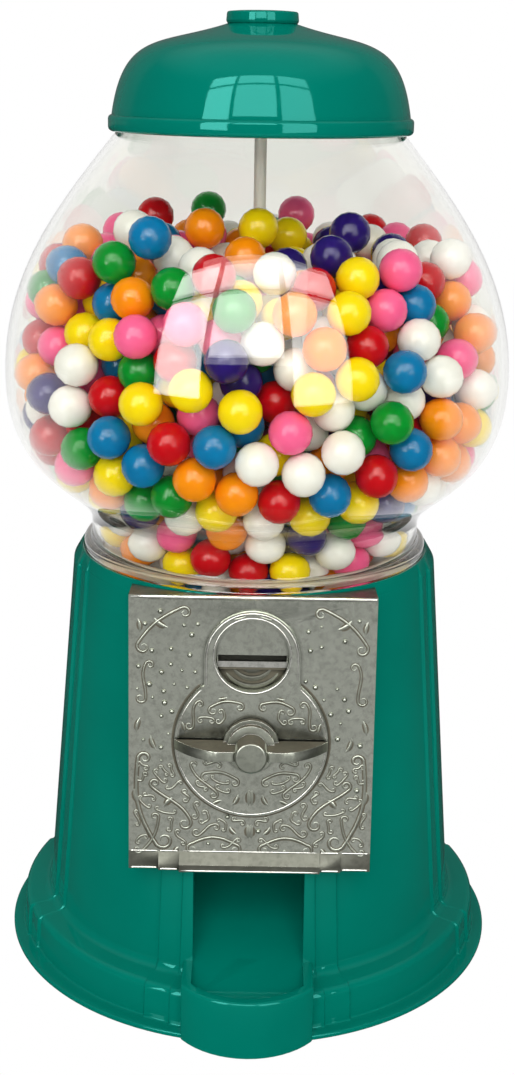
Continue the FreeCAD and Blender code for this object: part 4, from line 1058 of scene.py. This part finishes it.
def makeBorders():
    # bright ridges round the neck of the boss, the coin hole and the disc, and along the top edge and the
    # lip, worn bright and with painted highlight
    p = plateSizes
    b = borderSizes
    even = reliefSizes["even"]
    lipFull = reliefSizes["lipFull"]
    high = p["bossHeight"]
    turn = math.degrees(math.acos(p["neckHalf"] / p["boss"]))
    rise = math.sqrt(p["boss"] ** 2 - p["neckHalf"] ** 2)
    edge = p["neckHalf"] - b["neckIn"]
    foot = rise + b["neckFoot"]
    neck = [(edge, foot)] + ring(0, p["neckCentre"], edge, 0, 180) + [(-edge, foot)]
    ends = b["discEnds"]
    disc = ring(0, 0, p["boss"] - b["discIn"], 180 - turn + ends, 180 + 2 * turn - 2 * ends)
    side = p["half"] - b["sideIn"]
    borders = [
        stroke(neck, *b["neck"], high, even),
        stroke(ring(0, p["holeHeight"], p["hole"] + b["holeOut"]), *b["hole"], high, even),
        stroke(disc, *b["disc"], high, even),
        stroke(straight(-side, side, p["above"] - b["topIn"]), *b["top"], 0, even),
    ]
    low = -p["below"]
    for left, right, depth in p["lips"]:
        lipFoot = straight(left, right, low - p["lipDrop"] + b["lipFootIn"])
        borders.append(stroke(lipFoot, *b["lipFoot"], depth, lipFull))
        borders.append(stroke(straight(left, right, low + p["lipTop"]), *b["lipTop"], 0, lipFull))
    borders = joinMeshes("plateBorders", borders, reliefSizes["smoothAngle"])
    borders.transform(plateFrame)
    newPiece("plateBorders", borders, wornZincAndHighlight, "base", slot="cast_zinc")


beadSizes = dict(
    count=46, seed=5, small=0.55, large=1.15, apart=4.2, clear=1.9, corners=4,
    sideGap=3, footGap=5, topGap=6, bossGap=2,
)


def makeBeads(taken):
    # small domes strewn over the flat of the plate, clear of the strokes and of the boss
    b = beadSizes
    p = plateSizes
    chance = random.Random(b["seed"])
    places = []
    while len(places) < b["count"]:
        x = chance.uniform(-p["half"] + b["sideGap"], p["half"] - b["sideGap"])
        y = chance.uniform(-p["below"] + b["footGap"], p["above"] - b["topGap"])
        inNeck = abs(x) < p["neckHalf"] + b["bossGap"] and y > 0
        inBoss = math.hypot(x, y) < p["boss"] + b["bossGap"] or inNeck
        near = min(math.hypot(x - a, y - c) for a, c in taken) < b["clear"]
        crowded = places and min(math.hypot(x - a, y - c) for a, c in places) < b["apart"]
        if not (inBoss or near or crowded):
            places.append((x, y))
    spots = [plateFrame @ Vector((x * mm, y * mm, 0)) for x, y in places]
    sizes = [chance.uniform(b["small"], b["large"]) for _ in places]
    mesh = ballsAt("plateBeads", spots, sizes, mm, b["corners"], b["seed"], reliefZinc)
    newPiece("plateBeads", mesh, None, "base", slot="cast_zinc")


makePlate()
makeHandle()
makeCoinRecess()
makeBorders()
makeBeads(makePlateOrnament())
print("plate and handle made")


# finishes of the CAD pieces that stay as they are

# the housing and the coin carrier take the dark dull zinc, which is also painted shade inside the coin slot
keptFinishes = {
    "chute": enamel, "mech_housing": dullZinc, "coin_carrier": dullZinc, "centre_rod": rodPaintedReflection,
    "shaft_bush": brass, "rubber_feet": rubber, "globe_gasket": sealRubber, "lid_gasket": sealRubber,
}
for name in ("hopper", "ball_wheel", "wheel_rim", "wheel_crown", "wheel_cup", "drive_pinion"):
    keptFinishes[name] = acetal
for name in (
    "bottom_cover", "rod_washer", "rod_nut", "ball_guard", "guard_nut", "cup_screws", "plate_screws",
    "mech_screws", "handle_shaft", "ratchet_wheel", "ratchet_pawl", "pawl_pin", "pawl_spring",
    "shaft_spacer", "shaft_clip",
):
    keptFinishes[name] = steel
for name, material in keptFinishes.items():
    dress(nodes[name].data, material)
# behind the coin hole the housing is bright above the slot and dark below, painted shade under the ledge
housing = nodes["mech_housing"].data
dress(housing, dullZinc, plateZinc, oxideAndShade)
for face in housing.polygons:
    place = plateFrame.inverted() @ face.center / mm
    if place.z > -plateSizes["recess"] - 0.2:
        face.material_index = 1 if place.y > plateSizes["slotFoot"] else 2
print("finishes set")


# floor, light and camera

stageSizes = dict(
    floor=6.0, white=0.8, dim=0.03, rearEdge=(-0.05, 0.05), table=0.40, tableWide=(0.5, 0.7),
    tableFront=(-2.2, -2.0), tableBack=(-0.2, -0.12), skyDiffuse=0.8, sky=0.05, backdropGlass=(0.1, 0.5),
    backdropEnamel=(0.40, 0.50), backdropSoft=0.12, ceiling=(0.55, 0.85), ceilingGlow=0.45,
)


def rayKinds(tree):
    # seen by eye or in a mirror image, only in a mirror image, by way of the glass
    path = addNode(tree, "ShaderNodeLightPath").outputs
    rays = {0: path["Is Camera Ray"], 1: path["Is Glossy Ray"]}
    seen = addNode(tree, "ShaderNodeMath", rays, operation="MAXIMUM")
    mirrored = addNode(tree, "ShaderNodeMath", {0: path["Glossy Depth"], 1: 1.0}, operation="MINIMUM")
    return seen, mirrored, path["Is Singular Ray"]


def makeFloor():
    # white to the eye, a grey table top before the machine in mirror images, and plain white for stray light
    s = stageSizes
    half = s["floor"]
    corners = [(-half, -half, 0), (half, -half, 0), (half, half, 0), (-half, half, 0)]
    mesh = meshFrom("floor", corners, [(0, 1, 2, 3)])
    floor = bpy.data.objects.new("floor", mesh)
    scene.collection.objects.link(floor)
    material, tree, shader, coords = newMaterial("paleFloor")
    feed(tree, shader, {"Base Color": (s["white"],) * 3 + (1,), "Specular IOR Level": 0.0})
    seen, mirrored, glassy = rayKinds(tree)
    place = addNode(tree, "ShaderNodeSeparateXYZ", {0: coords}).outputs
    across = addNode(tree, "ShaderNodeMath", {0: place["X"]}, operation="ABSOLUTE")
    dim = s["dim"]
    table = s["table"]
    for along, edge, rises in (
        (across, s["tableWide"], False),
        (place["Y"], s["tableFront"], True),
        (place["Y"], s["tableBack"], False),
    ):
        low, high = (dim, table) if rises else (table, dim)
        table = addNode(tree, "ShaderNodeMapRange", {0: along, 1: edge[0], 2: edge[1], 3: low, 4: high})
    edge = s["rearEdge"]
    rear = addNode(tree, "ShaderNodeMapRange", {0: place["Y"], 1: edge[0], 2: edge[1], 3: dim, 4: 1.0})
    image = addNode(tree, "ShaderNodeMix", {0: glassy, 2: table, 3: rear})
    strength = addNode(tree, "ShaderNodeMix", {0: mirrored, 2: 1.0, 3: image})
    glow = addNode(tree, "ShaderNodeEmission", {"Strength": strength})
    both = addNode(tree, "ShaderNodeMixShader", {0: seen, 1: shader, 2: glow})
    feed(tree, tree.nodes["Material Output"], {"Surface": both})
    mesh.materials.append(material)


def makeWorld():
    # white to the eye, dark in mirror images but for the backdrop behind the machine and a pale ceiling
    s = stageSizes
    world = bpy.data.worlds.new("paleRoom")
    scene.world = world
    world.use_nodes = True
    tree = world.node_tree
    seen, mirrored, glassy = rayKinds(tree)
    around = addNode(tree, "ShaderNodeTexCoord").outputs["Generated"]
    heading = addNode(tree, "ShaderNodeSeparateXYZ", {0: around}).outputs
    glows = []
    for along, low, high, edge in (
        (heading["Y"], s["dim"], 1.0, s["backdropGlass"]),
        (heading["Y"], s["sky"], s["backdropSoft"], s["backdropEnamel"]),
        (heading["Z"], 0, s["ceilingGlow"], s["ceiling"]),
    ):
        glows.append(addNode(tree, "ShaderNodeMapRange", {0: along, 1: edge[0], 2: edge[1], 3: low, 4: high}))
    behindGlass, backdrop, ceiling = glows
    room = addNode(tree, "ShaderNodeMath", {0: ceiling, 1: backdrop}, operation="MAXIMUM")
    image = addNode(tree, "ShaderNodeMix", {0: glassy, 2: room, 3: behindGlass})
    shown = addNode(tree, "ShaderNodeMix", {0: mirrored, 2: 1.0, 3: image})
    strength = addNode(tree, "ShaderNodeMix", {0: seen, 2: s["skyDiffuse"], 3: shown})
    feed(tree, tree.nodes["Background"], {"Color": (1, 1, 1, 1), "Strength": strength})
    world.cycles.sampling_method = "NONE"        # an even sky needs no sampling of its own


def makeLamp(name, wide, tall, radiance):
    lamp = bpy.data.lights.new(name, "AREA")
    lamp.shape = "RECTANGLE"
    lamp.size = wide * mm
    lamp.size_y = tall * mm
    lamp.energy = radiance * math.pi * lamp.size * lamp.size_y
    placed = bpy.data.objects.new(name, lamp)
    scene.collection.objects.link(placed)
    return placed


# each column of panes: left, right, sill and radiance
windowSizes = dict(
    away=1350, top=2000, transom=(1450, 1530),
    columns=((-1300, -600, 200, 7.5), (-520, 280, 640, 5.6), (370, 1150, 150, 4.8)),
)
keyLamp = dict(place=(-60, -1550, 1250), aim=(0, 0, 190), wide=1500, tall=1400, radiance=3.6)


def makeWindow():
    # the window behind the camera shows in mirror images only, and one wide lamp gives its soft light
    w = windowSizes
    for left, right, sill, radiance in w["columns"]:
        for low, high in ((sill, w["transom"][0]), (w["transom"][1], w["top"])):
            pane = makeLamp("pane", right - left, high - low, radiance)
            pane.location = axisAt + Vector(((left + right) / 2, -w["away"], (low + high) / 2)) * mm
            pane.rotation_euler = (math.pi / 2, 0, 0)
            pane.visible_diffuse = False
    k = keyLamp
    key = makeLamp("key", k["wide"], k["tall"], k["radiance"])
    key.location = axisAt + Vector(k["place"]) * mm
    key.rotation_euler = (Vector(k["place"]) - Vector(k["aim"])).to_track_quat("Z", "Y").to_euler()
    key.visible_glossy = False


cameraSizes = dict(
    away=617.9, height=358.3, down=0.291, roll=0.016, focal=1548.9, centreX=254.39, wide=515, tall=1075,
    sensor=36,
)


def makeCamera():
    c = cameraSizes
    data = bpy.data.cameras.new("camera")
    data.sensor_fit = "VERTICAL"
    data.sensor_height = c["sensor"]
    data.lens = c["sensor"] * c["focal"] / c["tall"]
    data.shift_x = (c["wide"] / 2 - c["centreX"]) / c["tall"]
    camera = bpy.data.objects.new("camera", data)
    tilt = Matrix.Rotation(math.pi / 2 - c["down"], 4, "X") @ Matrix.Rotation(c["roll"], 4, "Z")
    camera.matrix_world = Matrix.Translation((0, axisY - c["away"] * mm, c["height"] * mm)) @ tilt
    scene.collection.objects.link(camera)
    scene.camera = camera


makeFloor()
makeWorld()
makeWindow()
makeCamera()
scene.view_settings.view_transform = "Standard"
print("stage made")
